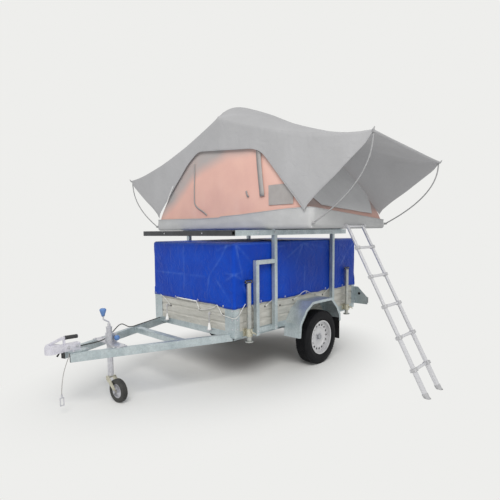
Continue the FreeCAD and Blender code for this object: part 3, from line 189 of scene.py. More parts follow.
# Safety cable and light cable. The safety cable is a thin plastic-coated wire rope that hangs from
# the nose with a snap hook on it; the light cable is dark grey rubber, laid along the drawbar and round
# the jockey wheel's tube.
SAFETY_ROUTE = ((0.140, -0.018, -0.0332), (0.129, -0.018, -0.068), (0.113, -0.018, -0.106),
                (0.096, -0.018, -0.148), (0.081, -0.018, -0.194), (0.071, -0.018, -0.242),
                (0.064, -0.018, -0.290), (0.060, -0.018, -0.328), (0.059, -0.018, -0.358))
LIGHT_ROUTE = ((1.362, 0.543, -0.026), (1.250, 0.508, -0.027), (1.140, 0.458, -0.026), (1.030, 0.422, -0.027),
               (0.925, 0.372, -0.026), (0.860, 0.338, -0.012), (0.800, 0.296, 0.022), (0.740, 0.236, 0.054),
               (0.680, 0.176, 0.066), (0.620, 0.124, 0.058), (0.560, 0.082, 0.034), (0.500, 0.058, 0.006),
               (0.450, 0.048, -0.010), (0.390, 0.047, -0.017), (0.325, 0.048, -0.018), (0.265, 0.042, -0.016),
               (0.205, 0.044, -0.018), (0.126, 0.044, -0.015), (0.104, 0.045, -0.021), (0.084, 0.046, -0.043),
               (0.066, 0.044, -0.062))


def surface(name, base, second, metallic, roughness, stain=0.2, cells=0.0, cell_size=0.014, grain=0.15,
            grain_size=0.0012, edge=0.0, edge_colour=None, specular=0.5, streak=1.0):
    """Procedural finish: cloudy change between two colours, crystal cells, fine grain and lighter edges in
    patches.
    """
    material, tree = empty_material(name)
    place = add(tree, "ShaderNodeTexCoord").outputs["Object"]
    stretched = add(tree, "ShaderNodeMapping", {"Vector": place, "Scale": (1, 1, 1 / streak)}).outputs[0]
    cloud = add(tree, "ShaderNodeTexNoise",
                {"Vector": stretched, "Scale": 1 / stain, "Detail": 7.0, "Roughness": 0.65}).outputs["Fac"]
    colour = mixed(tree, ranged(tree, cloud, 0.36, 0.66), (*base, 1), (*second, 1))
    if cells:
        crystal = add(tree, "ShaderNodeTexVoronoi",
                      {"Vector": place, "Scale": 1 / cell_size}).outputs["Color"]
        level = add(tree, "ShaderNodeSeparateColor", {"Color": crystal}).outputs[0]
        level = ranged(tree, level, low=1 - cells, high=1 + cells)
        colour = add(tree, "ShaderNodeVectorMath", {0: colour, 3: level}, operation="SCALE").outputs[0]
    fine = add(tree, "ShaderNodeTexNoise", {"Vector": place, "Scale": 1 / grain_size, "Detail": 3.0})
    normal = add(tree, "ShaderNodeNewGeometry").outputs["Normal"]
    if edge:
        round_edge = add(tree, "ShaderNodeBevel", {"Radius": edge}, samples=4).outputs[0]
        flat = add(tree, "ShaderNodeVectorMath", {0: round_edge, 1: normal}, operation="DOT_PRODUCT")
        # Edges turn lighter in patches, towards the edge colour.
        lighter_edge = ranged(tree, flat.outputs["Value"], 0.995, 0.85)
        rim = edge_colour or tuple(min(1.0, c * 1.35 + 0.04) for c in base)
        colour = mixed(tree, maths(tree, "MULTIPLY", lighter_edge, cloud), colour, (*rim, 1))
        normal = round_edge
    bump = add(tree, "ShaderNodeBump",
               {"Strength": grain, "Distance": grain_size, "Height": fine.outputs["Fac"], "Normal": normal})
    rough = ranged(tree, cloud, low=max(0.05, roughness - 0.12), high=min(1.0, roughness + 0.12))
    return shaded(material, colour, rough, bump, **{"Metallic": metallic, "Specular IOR Level": specular})


def repaint(material, *names):
    """Give CAD nodes this material."""
    for name in names:
        mesh = nodes[name].data
        mesh.materials.clear()
        mesh.materials.append(material)


def link(name, mesh, material, body, smooth=True):
    """Finished piece from a mesh: at the origin, with its material, on its body."""
    piece = bpy.data.objects.new(name, mesh)
    bpy.context.scene.collection.objects.link(piece)
    if material:
        mesh.materials.clear()
        mesh.materials.append(material)
    if hasattr(mesh, "polygons"):
        for face in mesh.polygons:
            face.use_smooth = smooth
    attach(piece, body)
    return piece


def cable(name, route, thickness, material):
    """Smooth round cable: a spline with the route's points as its control points."""
    curve = bpy.data.curves.new(name, "CURVE")
    curve.dimensions = "3D"
    spline = curve.splines.new("NURBS")
    spline.points.add(len(route) - 1)
    for point, place in zip(spline.points, route):
        point.co = (*place, 1)
    spline.order_u = 3
    spline.use_endpoint_u = True
    spline.resolution_u = 8
    curve.bevel_depth = thickness / 2
    curve.bevel_resolution = 4
    curve.use_fill_caps = True
    return link(name, curve, material, "trailer")


def shell(points, faces):
    """Closed mesh from points and faces, doubles merged and normals turned outward."""
    mesh = bpy.data.meshes.new("shape")
    mesh.from_pydata([tuple(p) for p in points], [], faces)
    work = bmesh.new()
    work.from_mesh(mesh)
    bmesh.ops.remove_doubles(work, verts=work.verts, dist=1e-6)
    bmesh.ops.recalc_face_normals(work, faces=work.faces)
    work.to_mesh(mesh)
    work.free()
    return mesh


def loft(rings, closed=True, caps=True):
    """Points and faces that join rings of equal length, with an end face on the first and last."""
    count = len(rings[0])
    points = [p for ring in rings for p in ring]
    faces = []
    span = count if closed else count - 1
    for i in range(len(rings) - 1):
        for j in range(span):
            a = i * count + j
            b = i * count + (j + 1) % count
            faces.append((a, b, b + count, a + count))
    if caps:
        faces.append(tuple(reversed(range(count))))
        faces.append(tuple(range((len(rings) - 1) * count, len(rings) * count)))
    return points, faces


def lathe(profile, centre, axis, steps=48, closed=False):
    """Turned shape: profile pairs are (distance along the axis, radius)."""
    axis = Vector(axis).normalized()
    side = axis.orthogonal().normalized()
    other = axis.cross(side)
    centre = Vector(centre)
    rings = []
    for i in range(steps):
        turn = math.tau * i / steps
        out = side * math.cos(turn) + other * math.sin(turn)
        rings.append([centre + axis * along + out * radius for along, radius in profile])
    rings.append(rings[0])
    return loft(rings, closed=closed, caps=False)


def clamped(value):
    """The value, held between 0 and 1."""
    return min(1.0, max(0.0, value))


def noise_at(*place):
    """Smooth noise from -1 to 1 at three coordinates."""
    return noise.noise(Vector(place))


def heading(path, i):
    """The way a line of points runs at one of them."""
    return (path[min(i + 1, len(path) - 1)] - path[max(i - 1, 0)]).normalized()


def tube(path, radius, sides=10):
    """Round bar along points; the radius is one value or one for each point."""
    path = [Vector(p) for p in path]
    radii = radius if isinstance(radius, (list, tuple)) else [radius] * len(path)
    side = (path[1] - path[0]).normalized().orthogonal().normalized()
    rings = []
    for i, spot in enumerate(path):
        ahead = heading(path, i)
        side = (side - ahead * side.dot(ahead)).normalized()
        other = ahead.cross(side)
        rings.append([spot + (side * math.cos(math.tau * k / sides)
                              + other * math.sin(math.tau * k / sides)) * radii[i] for k in range(sides)])
    return loft(rings)


def slab(low, high, bevel=0.002, segments=2):
    """Block between two corners with rounded edges."""
    work = bmesh.new()
    bmesh.ops.create_cube(work, size=1)
    for vert in work.verts:
        vert.co = Vector([(low[k] + high[k]) / 2 + vert.co[k] * (high[k] - low[k]) for k in range(3)])
    if bevel:
        bmesh.ops.bevel(work, geom=work.edges[:], offset=bevel, segments=segments, affect="EDGES",
                        profile=0.5)
    points = [v.co.copy() for v in work.verts]
    faces = [tuple(v.index for v in f.verts) for f in work.faces]
    work.free()
    return points, faces


def joined(shapes):
    """Several (points, faces) as one."""
    points, faces = [], []
    for more_points, more_faces in shapes:
        start = len(points)
        points.extend(more_points)
        faces.extend(tuple(start + i for i in face) for face in more_faces)
    return points, faces


def built(name, shapes, material, body="trailer", smooth=True):
    """Finished piece from several (points, faces)."""
    return link(name, shell(*joined(shapes)), material, body, smooth)


def tapered(start, end, pairs, sides=20):
    """Turned bar between two points: pairs are (share of the way, radius)."""
    start, end = Vector(start), Vector(end)
    path = [start.lerp(end, share) for share, _ in pairs]
    return tube(path, [radius for _, radius in pairs], sides)


wire_rope = surface("coated_wire_rope", (0.36, 0.35, 0.34), (0.48, 0.47, 0.45), 0.3, 0.45, 0.02, grain=0.5,
                    grain_size=0.0009)
black_rubber = surface("black_rubber", (0.009, 0.009, 0.010), (0.018, 0.018, 0.019), 0.0, 0.6, 0.05,
                       grain=0.25, grain_size=0.0008, specular=0.25)
bright_zinc = surface("bright_zinc", (0.66, 0.66, 0.69), (0.54, 0.54, 0.58), 0.72, 0.36, 0.06, cells=0.06,
                      edge=0.0012)

safety = cable("safety_cable_line", SAFETY_ROUTE, 0.006, wire_rope)
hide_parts("safety_cable")
repaint(bright_zinc, "safety_carabiner")

grey_rubber = surface("grey_rubber", (0.034, 0.034, 0.033), (0.058, 0.058, 0.055), 0.0, 0.6, 0.08, grain=0.25,
                      grain_size=0.0008, specular=0.3)
light = cable("light_cable_line", LIGHT_ROUTE, 0.009, grey_rubber)
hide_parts("light_cable")
plug_end = Vector(LIGHT_ROUTE[-1])
plug_way = (plug_end - Vector(LIGHT_ROUTE[-2])).normalized()
light_plug = built("light_cable_connector",
                   [tapered(plug_end - plug_way * 0.016, plug_end + plug_way * 0.007,
                            ((0, 0.0046), (0.2, 0.0062), (0.55, 0.0066), (0.8, 0.0074), (1, 0.0072)))],
                   black_rubber)

# Drawbar. Two rectangular tubes run together to the nose, with a bar across and a plate on top; all
# is welded and then galvanised as one, so the zinc shows crystals, runs and dull patches.
RAIL_RUN = (1.276, 0.492)
RAIL_WAY = Vector((RAIL_RUN[0], -RAIL_RUN[1], 0)).normalized()
RAIL_SIDE = Vector((RAIL_RUN[1], RAIL_RUN[0], 0)).normalized()
RAIL_NOSE_PLACE = (0.120, -0.068, -0.066)
RAIL_NOSE = Vector(RAIL_NOSE_PLACE)
RAIL_WIDTH = 0.040
RAIL_HEIGHT = 0.068
CROSSBAR_X = 0.985
CROSSBAR_HALF = (0.030, 0.025)
BEAD_STEP = 0.006

galvanised = surface("galvanised_steel", (0.40, 0.465, 0.485), (0.545, 0.605, 0.62), 0.62, 0.40, 0.14,
                     cells=0.085, cell_size=0.012, grain=0.2, grain_size=0.0016, edge=0.0022, streak=2.2)
black_plastic = surface("black_plastic", (0.022, 0.022, 0.024), (0.038, 0.038, 0.04), 0.0, 0.42, 0.05,
                        grain=0.2, grain_size=0.0006, edge=0.001)
repaint(galvanised, "drawbar_rail_left", "drawbar_rail_right", "drawbar_crossbar", "chassis_frame",
        "axle_beam", "axle_arms")


def flipped(shape):
    """The same shape on the other side of the trailer."""
    points, faces = shape
    return [Vector((p[0], -p[1], p[2])) for p in points], faces


def along_rail(ahead, side, height):
    """Point on the left rail from distances along it, across it and above its middle."""
    return RAIL_NOSE + RAIL_WAY * ahead + RAIL_SIDE * side + Vector((0, 0, height))


def rail_plug():
    """Ribbed plastic plug pushed into the rail's open front end."""
    half_width, half_height = RAIL_WIDTH / 2, RAIL_HEIGHT / 2
    rings = []
    for ahead, shrink in ((0.010, 0.0032), (0.0, 0.0032), (0.0, 0.0006), (-0.003, 0.0006), (-0.005, 0.004),
                          (-0.0035, 0.009), (-0.002, 0.012)):
        w, h = half_width - shrink, half_height - shrink
        rings.append([along_rail(ahead, s * w, t * h) for s, t in ((-1, -1), (1, -1), (1, 1), (-1, 1))])
    return loft(rings)


plug_shape = rail_plug()
built("rail_plugs", [plug_shape, flipped(plug_shape)], black_plastic, smooth=False)


def bead(path, radius=0.0032):
    """Lumpy weld bead along straight runs."""
    spots, radii = [], []
    for a, b in zip(path, path[1:]):
        a, b = Vector(a), Vector(b)
        count = max(2, int((b - a).length / BEAD_STEP))
        for i in range(count):
            spots.append(a.lerp(b, i / count))
            radii.append(radius * (0.82 + 0.36 * (i % 2)))
    spots.append(Vector(path[-1]))
    radii.append(radius)
    return tube(spots, radii, 8)


def crossbar_weld():
    """Weld round the end of the crossbar where it meets the left rail's inner face."""
    share = (CROSSBAR_X - RAIL_NOSE_PLACE[0]) / RAIL_RUN[0]
    inner_y = -(-RAIL_NOSE_PLACE[1] + share * RAIL_RUN[1]) + RAIL_WIDTH / 2 / RAIL_WAY.x
    half_x, half_z = CROSSBAR_HALF
    slope = RAIL_WAY.y / RAIL_WAY.x
    z = RAIL_NOSE.z
    corners = [(CROSSBAR_X + sx * half_x, inner_y + slope * sx * half_x + 0.001, z + sz * half_z)
               for sx, sz in ((-1, 1), (1, 1), (1, -1), (-1, -1), (-1, 1))]
    return bead(corners)


PLATE_TOP = -0.024
nose_weld = bead([along_rail(0.012, -0.0195, 0.0345), along_rail(0.148, -0.0195, 0.0345)])
weld_shapes = [crossbar_weld(), nose_weld]
weld_shapes += [flipped(shape) for shape in weld_shapes]
built("drawbar_welds", weld_shapes, galvanised)


def node_group(name, sockets):
    """Geometry nodes tree with these inputs, and the sockets that its nodes read them from."""
    tree = bpy.data.node_groups.new(name, "GeometryNodeTree")
    for label, kind in (("Geometry", "Geometry"), *sockets, ("Material", "Material")):
        tree.interface.new_socket(label, in_out="INPUT", socket_type="NodeSocket" + kind)
    tree.interface.new_socket("Geometry", in_out="OUTPUT", socket_type="NodeSocketGeometry")
    return tree, add(tree, "NodeGroupInput").outputs


def fastener_tree():
    """Geometry nodes: washer, head and thread end on every point, facing the way the point says."""
    tree, given = node_group("fasteners_on_points", (("Size", "Float"), ("Head Sides", "Int")))
    washer = add(tree, "GeometryNodeMeshCylinder", {"Vertices": 18, "Radius": 1.5, "Depth": 0.3})
    head = add(tree, "GeometryNodeMeshCylinder",
               {"Vertices": given["Head Sides"], "Radius": 1.0, "Depth": 0.8})
    head = add(tree, "GeometryNodeTransform", {"Geometry": head.outputs["Mesh"], "Translation": (0, 0, 0.5)})
    stem = add(tree, "GeometryNodeMeshCylinder", {"Vertices": 12, "Radius": 0.55, "Depth": 0.4})
    stem = add(tree, "GeometryNodeTransform", {"Geometry": stem.outputs["Mesh"], "Translation": (0, 0, 1.0)})
    bolt = add(tree, "GeometryNodeJoinGeometry")
    for part in (washer.outputs["Mesh"], head.outputs[0], stem.outputs[0]):
        tree.links.new(part, bolt.inputs[0])
    facing = add(tree, "GeometryNodeInputNamedAttribute", {"Name": "facing"}, data_type="FLOAT_VECTOR")
    turn = add(tree, "FunctionNodeAlignRotationToVector", {"Vector": facing.outputs["Attribute"]}, axis="Z")
    size = add(tree, "ShaderNodeCombineXYZ", {"X": given["Size"], "Y": given["Size"], "Z": given["Size"]})
    spread = add(tree, "GeometryNodeInstanceOnPoints",
                 {"Points": given["Geometry"], "Instance": bolt.outputs[0], "Rotation": turn.outputs[0],
                  "Scale": size.outputs[0]})
    real = add(tree, "GeometryNodeRealizeInstances", {"Geometry": spread.outputs[0]})
    painted = add(tree, "GeometryNodeSetMaterial",
                  {"Geometry": real.outputs[0], "Material": given["Material"]})
    add(tree, "NodeGroupOutput", {"Geometry": painted.outputs[0]})
    return tree


def grown(name, host, tree, values, body):
    """Run a geometry nodes tree on a host mesh and keep the result as a plain mesh."""
    piece = bpy.data.objects.new(name, host)
    bpy.context.scene.collection.objects.link(piece)
    modifier = piece.modifiers.new("nodes", "NODES")
    modifier.node_group = tree
    for item in tree.interface.items_tree:
        if item.in_out == "INPUT" and item.name in values:
            modifier[item.identifier] = values[item.name]
    bpy.context.view_layer.update()
    result = bpy.data.meshes.new_from_object(piece.evaluated_get(bpy.context.evaluated_depsgraph_get()))
    piece.modifiers.clear()
    bpy.data.objects.remove(piece)
    result.name = name
    if len(result.polygons) == 0:
        raise RuntimeError(name + " grew nothing")
    return link(name, result, values["Material"], body, False)


def fasteners(name, spots, size, material=bright_zinc, body="trailer", sides=6):
    """Bolt heads: spots are (place, facing)."""
    host = bpy.data.meshes.new(name + "_points")
    host.from_pydata([tuple(place) for place, _ in spots], [], [])
    facing = host.attributes.new("facing", "FLOAT_VECTOR", "POINT")
    for item, (_, way) in zip(facing.data, spots):
        item.vector = way
    return grown(name, host, fastener_nodes, {"Size": size, "Head Sides": sides, "Material": material}, body)


def side_spots(places):
    """Fastener spots on both sides, facing outward, from places (x, distance from the middle, z)."""
    return [((x, sign * out, z), (0, sign, 0)) for sign in (-1, 1) for x, out, z in places]


def end_spots(x, way, places):
    """Fastener spots on both sides of a face across the trailer, from places (distance, z)."""
    return [((x, sign * out, z), (way, 0, 0)) for sign in (-1, 1) for out, z in places]


fastener_nodes = fastener_tree()
UP = (0, 0, 1)
nose_bolts = [((x, y, PLATE_TOP + 0.0005), UP) for x in (0.150, 0.258) for y in (-0.064, 0.064)]
fasteners("nose_plate_bolts", nose_bolts, 0.008)

# Coupling. A pressed steel ball coupling with a lever on top that ends in a black moulded grip; two
# bolts go across its tail.
COUPLING_BOLT_SPOTS = [((x, sign * 0.0305, 0.008), (0, sign, 0)) for x in (0.125, 0.195) for sign in (-1, 1)]

coupling_zinc = surface("coupling_zinc", (0.60, 0.59, 0.66), (0.71, 0.70, 0.75), 0.45, 0.4, 0.05, cells=0.05,
                        edge=0.002)
repaint(coupling_zinc, "coupling_head", "coupling_handle")
fasteners("coupling_bolts", COUPLING_BOLT_SPOTS, 0.0085)
grip_pairs = [(0.0, 0.0125), (0.03, 0.0158), (0.10, 0.0164)]
grip_pairs += [(0.14 + 0.04 * i, 0.0164 - (0.0011 if i % 2 else 0)) for i in range(16)]
grip_pairs += [(0.86, 0.0164), (0.95, 0.0155), (0.985, 0.0125), (1.0, 0.006)]
built("coupling_grip", [tapered((0.106, 0, 0.084), (0.215, 0, 0.080), grip_pairs)], black_plastic)

# Jockey wheel. A zinc-plated tube slides in a split clamp between the rails; a crank with a blue
# knob lowers the inner tube, whose fork carries a small rubber-tyred steel wheel.
JOCKEY_X = 0.485
JOCKEY_SWIVEL = math.radians(-83.0)
JOCKEY_TRAIL = 0.100
JOCKEY_RADIUS = 0.100
JOCKEY_HUB_Z = GROUND + JOCKEY_RADIUS
CRANK_TOP = 0.134

blue_plastic = surface("blue_plastic", (0.085, 0.18, 0.41), (0.12, 0.24, 0.50), 0.0, 0.4, 0.03, grain=0.15,
                       edge=0.001)
yellow_zinc = surface("yellow_zinc", (0.50, 0.475, 0.37), (0.64, 0.62, 0.51), 0.7, 0.34, 0.05, cells=0.12,
                      edge=0.0015)
repaint(bright_zinc, "jockey_clamp", "jockey_outer_tube", "jockey_inner_tube", "jockey_crank", "jockey_rim")
repaint(yellow_zinc, "jockey_fork")


def ball_knob(centre, radius, way):
    """Fluted ball knob, flattened a little along its stem."""
    profile = [(-radius * 0.95, 0.0), (-radius * 0.93, radius * 0.3)]
    profile += [(radius * 0.95 * math.sin(a), radius * math.cos(a))
                for a in (math.radians(d) for d in range(-60, 90, 15))]
    profile += [(radius * 0.95, 0.0)]
    points, faces = lathe(profile, centre, way, 40)
    middle = Vector(centre)
    way = Vector(way).normalized()
    fluted = []
    for i, p in enumerate(points):
        out = (p - middle) - way * (p - middle).dot(way)
        column = i // len(profile)
        fluted.append(p - out * (0.06 if column % 5 == 0 else 0.0))
    return fluted, faces


clamp_knob = joined([ball_knob((JOCKEY_X + 0.045, -0.047, 0.010), 0.0235, (0, -1, 0)),
                     tapered((JOCKEY_X + 0.045, -0.0142, 0.010), (JOCKEY_X + 0.045, -0.034, 0.010),
                             ((0, 0.006), (1, 0.006)))])
knob_piece = built("clamp_knob_ball", [clamp_knob], blue_plastic)
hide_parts("jockey_clamp_knob")
crank_knob = tapered((JOCKEY_X - 0.048, 0, CRANK_TOP + 0.070), (JOCKEY_X - 0.048, 0, CRANK_TOP + 0.1385),
                     ((0, 0.0118), (0.25, 0.0166), (0.55, 0.0233), (0.72, 0.0270), (0.80, 0.0275),
                      (0.86, 0.0272), (0.92, 0.0240), (0.985, 0.0184), (1, 0.0140)), 32)
built("crank_knob", [crank_knob], blue_plastic, "jockey_tube")

caster_way = Vector((math.cos(JOCKEY_SWIVEL), math.sin(JOCKEY_SWIVEL), 0))
jockey_axle = Vector((-math.sin(JOCKEY_SWIVEL), math.cos(JOCKEY_SWIVEL), 0))
jockey_hub = Vector((JOCKEY_X, 0, JOCKEY_HUB_Z)) + caster_way * JOCKEY_TRAIL


def arc(middle_along, middle_radius, radius, start, end, steps):
    """Round stretch of a turned profile, angles in degrees from the axis direction."""
    return [(middle_along + radius * math.cos(math.radians(start + (end - start) * i / steps)),
             middle_radius + radius * math.sin(math.radians(start + (end - start) * i / steps)))
            for i in range(steps + 1)]


def jockey_tyre_profile():
    """Round cushion tyre with two grooves in its tread."""
    side = [(0.0205, 0.0606), (0.0238, 0.0640), (0.0248, 0.0720), (0.0242, 0.0760), (0.0248, 0.0800)]
    shoulder = arc(0.0133, 0.0885, 0.0115, 0, 88, 7)
    half = side + shoulder + [(0.0095, 0.100), (0.0088, 0.0975), (0.0064, 0.0975), (0.0057, 0.100),
                              (0.0, 0.100)]
    return half + [(-along, radius) for along, radius in reversed(half[:-1])]


tyre_piece = built("jockey_tyre_rubber", [lathe(jockey_tyre_profile(), jockey_hub, jockey_axle, 72,
                                                closed=True)], grey_rubber, "jockey_wheel")
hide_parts("jockey_tyre")
hub_nuts = [(jockey_hub + jockey_axle * side * 0.0405, jockey_axle * side) for side in (-1, 1)]
fasteners("jockey_axle_nuts", hub_nuts, 0.0085, bright_zinc, "jockey_caster")
clamp_bolts = [((JOCKEY_X + dx, dy, -0.0235), UP) for dx in (-0.032, 0.032) for dy in (-0.19, 0.19)]
fasteners("jockey_bridge_bolts", clamp_bolts, 0.007)

# Road wheels. Silver painted steel rims with a ring of vents, a black disc behind them as painted shade
# seen through the vents, and four wheel bolts round a grey hub cap; radial tyres with a raised rim band,
# four grooves and cut tread blocks.
AXLE_X = 2.502
WHEEL_Y = 0.728
HUB_Z = GROUND + 0.289
WHEEL_BOLTS = 4
BOLT_RING = 0.0405
TREAD_ROWS = ((-0.0515, 0.2855, 0.0200, 0.30), (-0.0255, 0.2872, 0.0175, -0.2), (0.0, 0.2876, 0.0160, 0.0),
              (0.0255, 0.2872, 0.0175, 0.2), (0.0515, 0.2855, 0.0200, -0.30))
TREAD_COPIES = 64
BLOCK_DEPTH = 0.0022
BLOCK_LENGTH = 0.0215

rim_paint = surface("rim_silver_paint", (0.56, 0.56, 0.575), (0.66, 0.66, 0.67), 0.5, 0.34, 0.08, grain=0.12,
                    grain_size=0.0008, edge=0.0015)
tyre_rubber = surface("tyre_rubber", (0.0055, 0.006, 0.0075), (0.012, 0.012, 0.0135), 0.0, 0.62, 0.06,
                      grain=0.3, grain_size=0.0012, specular=0.16)
hub_grey = surface("hub_cap_grey", (0.30, 0.31, 0.33), (0.40, 0.41, 0.43), 0.3, 0.42, 0.02, edge=0.001)
vent_shade_black = surface("hub_plate_black", (0.012, 0.012, 0.013), (0.02, 0.02, 0.02), 0.0, 0.8, 0.05,
                    specular=0.2)
repaint(rim_paint, "wheel_rim_left", "wheel_rim_right")


def tyre_profile():
    """Carcass under the tread blocks, with a rim protector, a scuff band and the bead seats."""
    outer = [(0.0600, 0.1840), (0.0640, 0.1900), (0.0700, 0.1990), (0.0715, 0.2010), (0.0735, 0.2060),
             (0.0765, 0.2200), (0.0772, 0.2330), (0.0768, 0.2400), (0.0755, 0.2412), (0.0752, 0.2470),
             (0.0738, 0.2560), (0.0705, 0.2655), (0.0668, 0.2725), (0.0630, 0.2795), (0.0590, 0.2832),
             (0.0450, 0.2848), (0.0200, 0.2856), (0.0, 0.2858)]
    far = [(-along, radius) for along, radius in reversed(outer[:-1])]
    return outer + far + [(-0.0600, 0.1742), (0.0, 0.1742), (0.0600, 0.1742)]


def ring_tree():
    """Geometry nodes: blocks set at even steps round an axle that lies along Y."""
    sockets = (("Copies", "Int"), ("Radius", "Float"), ("Offset", "Float"), ("Phase", "Float"),
               ("Skew", "Float"), ("Block", "Vector"), ("Centre", "Vector"))
    tree, given = node_group("blocks_round_axle", sockets)
    spots = add(tree, "GeometryNodePoints", {"Count": given["Copies"]})
    index = add(tree, "GeometryNodeInputIndex")
    step = maths(tree, "DIVIDE", math.tau, given["Copies"])
    angle = maths(tree, "MULTIPLY_ADD", index.outputs[0], step, given["Phase"])
    x = maths(tree, "MULTIPLY", maths(tree, "COSINE", angle), given["Radius"])
    z = maths(tree, "MULTIPLY", maths(tree, "SINE", angle), given["Radius"])
    place = add(tree, "ShaderNodeCombineXYZ", {"X": x, "Y": given["Offset"], "Z": z})
    placed = add(tree, "GeometryNodeSetPosition",
                 {"Geometry": spots.outputs[0], "Position": place.outputs[0]})
    turn = add(tree, "ShaderNodeCombineXYZ", {"Y": maths(tree, "SUBTRACT", math.pi / 2, angle)})
    block = add(tree, "GeometryNodeMeshCube", {"Size": given["Block"]})
    skew = add(tree, "ShaderNodeCombineXYZ", {"Z": given["Skew"]})
    block = add(tree, "GeometryNodeTransform",
                {"Geometry": block.outputs["Mesh"], "Rotation": skew.outputs[0]})
    spread = add(tree, "GeometryNodeInstanceOnPoints",
                 {"Points": placed.outputs[0], "Instance": block.outputs[0], "Rotation": turn.outputs[0]})
    real = add(tree, "GeometryNodeRealizeInstances", {"Geometry": spread.outputs[0]})
    moved = add(tree, "GeometryNodeTransform", {"Geometry": real.outputs[0], "Translation": given["Centre"]})
    painted = add(tree, "GeometryNodeSetMaterial",
                  {"Geometry": moved.outputs[0], "Material": given["Material"]})
    add(tree, "NodeGroupOutput", {"Geometry": painted.outputs[0]})
    return tree


ring_nodes = ring_tree()
for side_name, sign in (("left", -1), ("right", 1)):
    body = "wheel_" + side_name
    hub = Vector((AXLE_X, sign * WHEEL_Y, HUB_Z))
    carcass = built("tyre_carcass_" + side_name, [lathe(tyre_profile(), hub, (0, 1, 0), 120, closed=True)],
                    tyre_rubber, body)
    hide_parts("tyre_" + side_name)
    for row, (offset, radius, width, skew) in enumerate(TREAD_ROWS):
        grown("tread_row_%d_%s" % (row + 1, side_name), bpy.data.meshes.new("tread_host"), ring_nodes,
              {"Copies": TREAD_COPIES, "Radius": radius, "Offset": sign * offset, "Phase": 0.37 * row,
               "Skew": sign * skew, "Block": (BLOCK_LENGTH, width, BLOCK_DEPTH * 2), "Centre": tuple(hub),
               "Material": tyre_rubber}, body)
    turns = [math.tau * (i + 0.5) / WHEEL_BOLTS for i in range(WHEEL_BOLTS)]
    bolt_spots = [(hub + Vector((BOLT_RING * math.cos(turn), sign * 0.0305, BOLT_RING * math.sin(turn))),
                   (0, sign, 0)) for turn in turns]
    fasteners("wheel_bolts_" + side_name, bolt_spots, 0.0083, bright_zinc, body)
    cap = lathe([(0.0512, 0.0), (0.0512, 0.0120), (0.0520, 0.0150), (0.0508, 0.0240), (0.0500, 0.0266),
                 (0.0302, 0.0270), (0.0301, 0.0)], hub, (0, sign, 0), 32)
    built("hub_cap_" + side_name, [cap], hub_grey, body)
    # Painted shade: a black disc behind the vents, so that the vents show dark.
    shade = lathe([(0.0120, 0.0524), (0.0120, 0.1460), (0.0165, 0.1495), (0.0185, 0.1495), (0.0150, 0.0524)],
                  hub, (0, sign, 0), 64, closed=True)
    built("hub_plate_" + side_name, [shade], vent_shade_black, body)

# Mudguards and flaps. Galvanised sheet folded in flats round the wheel, with a rolled lip on its outer
# edge; a black rubber flap is bolted behind each wheel.
GUARD_OUTLINE = ((-0.434, 0.362), (-0.420, 0.500), (-0.317, 0.635), (-0.202, 0.703), (0.158, 0.703),
                 (0.268, 0.600), (0.330, 0.500), (0.334, 0.424))
GUARD_MIDDLE = Vector((AXLE_X, 0.0, GROUND + 0.349))
GUARD_OUT = 0.825
LIP_DEPTH = 0.0262
FLAP_REAR_X = 2.8306

repaint(galvanised, "mudguard_left", "mudguard_right")
repaint(black_rubber, "mud_flaps")


def guard_line(sign, inward, out):
    """The mudguard's outline moved towards its middle, at a distance from the trailer's middle plane."""
    line = []
    for x, height in GUARD_OUTLINE:
        spot = Vector((AXLE_X + x, 0.0, GROUND + height))
        spot += (GUARD_MIDDLE - spot).normalized() * inward
        line.append(Vector((spot.x, sign * out, spot.z)))
    return line


def softened(line, reach):
    """Cut each corner of a line with three points, so that a rolled edge turns softly."""
    soft = [line[0]]
    for before, corner, after in zip(line, line[1:], line[2:]):
        start = corner + (before - corner).normalized() * reach
        end = corner + (after - corner).normalized() * reach
        soft += [start, (start + end + corner * 2) / 4, end]
    return soft + [line[-1]]


lips = []
for sign in (-1, 1):
    lips.append(tube(softened(guard_line(sign, LIP_DEPTH, GUARD_OUT - 0.0015), 0.014), 0.0042, 8))
    lips.append(tube(softened(guard_line(sign, 0.0035, GUARD_OUT - 0.0030), 0.010), 0.0040, 8))
built("mudguard_lips", lips, galvanised)
flap_bolts = end_spots(FLAP_REAR_X, 1, [(out, GROUND + 0.438) for out in (0.690, 0.745, 0.790)])
fasteners("mud_flap_bolts", flap_bolts, 0.0062)

# Box. Rolled aluminium side boards with four broad ribs, riveted to galvanised sills and corner posts;
# the tailgate hangs on three hinges, and white cones stand on the feet of the two front tie rods.
BOX_FRONT = 1.370
BOX_REAR = 3.460
BOX_HALF = 0.628
WALL_ROWS = (0.533, 0.803)
GATE_ROWS = (0.545, 0.803)
RIVET_STEP = 0.128
RIVET_PROUD = 0.0002
HINGE_COLUMNS = (-3, 0, 3)
ROD_SPOTS = ((-0.300, 0.498), (0.388, 0.498))

aluminium = surface("rolled_aluminium", (0.50, 0.49, 0.445), (0.63, 0.62, 0.575), 0.45, 0.46, 0.13,
                    grain=0.25, grain_size=0.0012, edge=0.0016, streak=0.25)
plywood = surface("floor_board_brown", (0.13, 0.075, 0.045), (0.19, 0.115, 0.07), 0.0, 0.6, 0.09, grain=0.3,
                  grain_size=0.002, streak=0.2)
white_plastic = surface("white_plastic", (0.74, 0.74, 0.73), (0.84, 0.84, 0.83), 0.0, 0.4, 0.03, grain=0.15,
                        edge=0.001)
repaint(aluminium, "wall_front", "wall_left", "wall_right", "tailgate")
repaint(plywood, "floor_panel")
repaint(galvanised, "sills", "corner_posts", "tailgate_hinges")


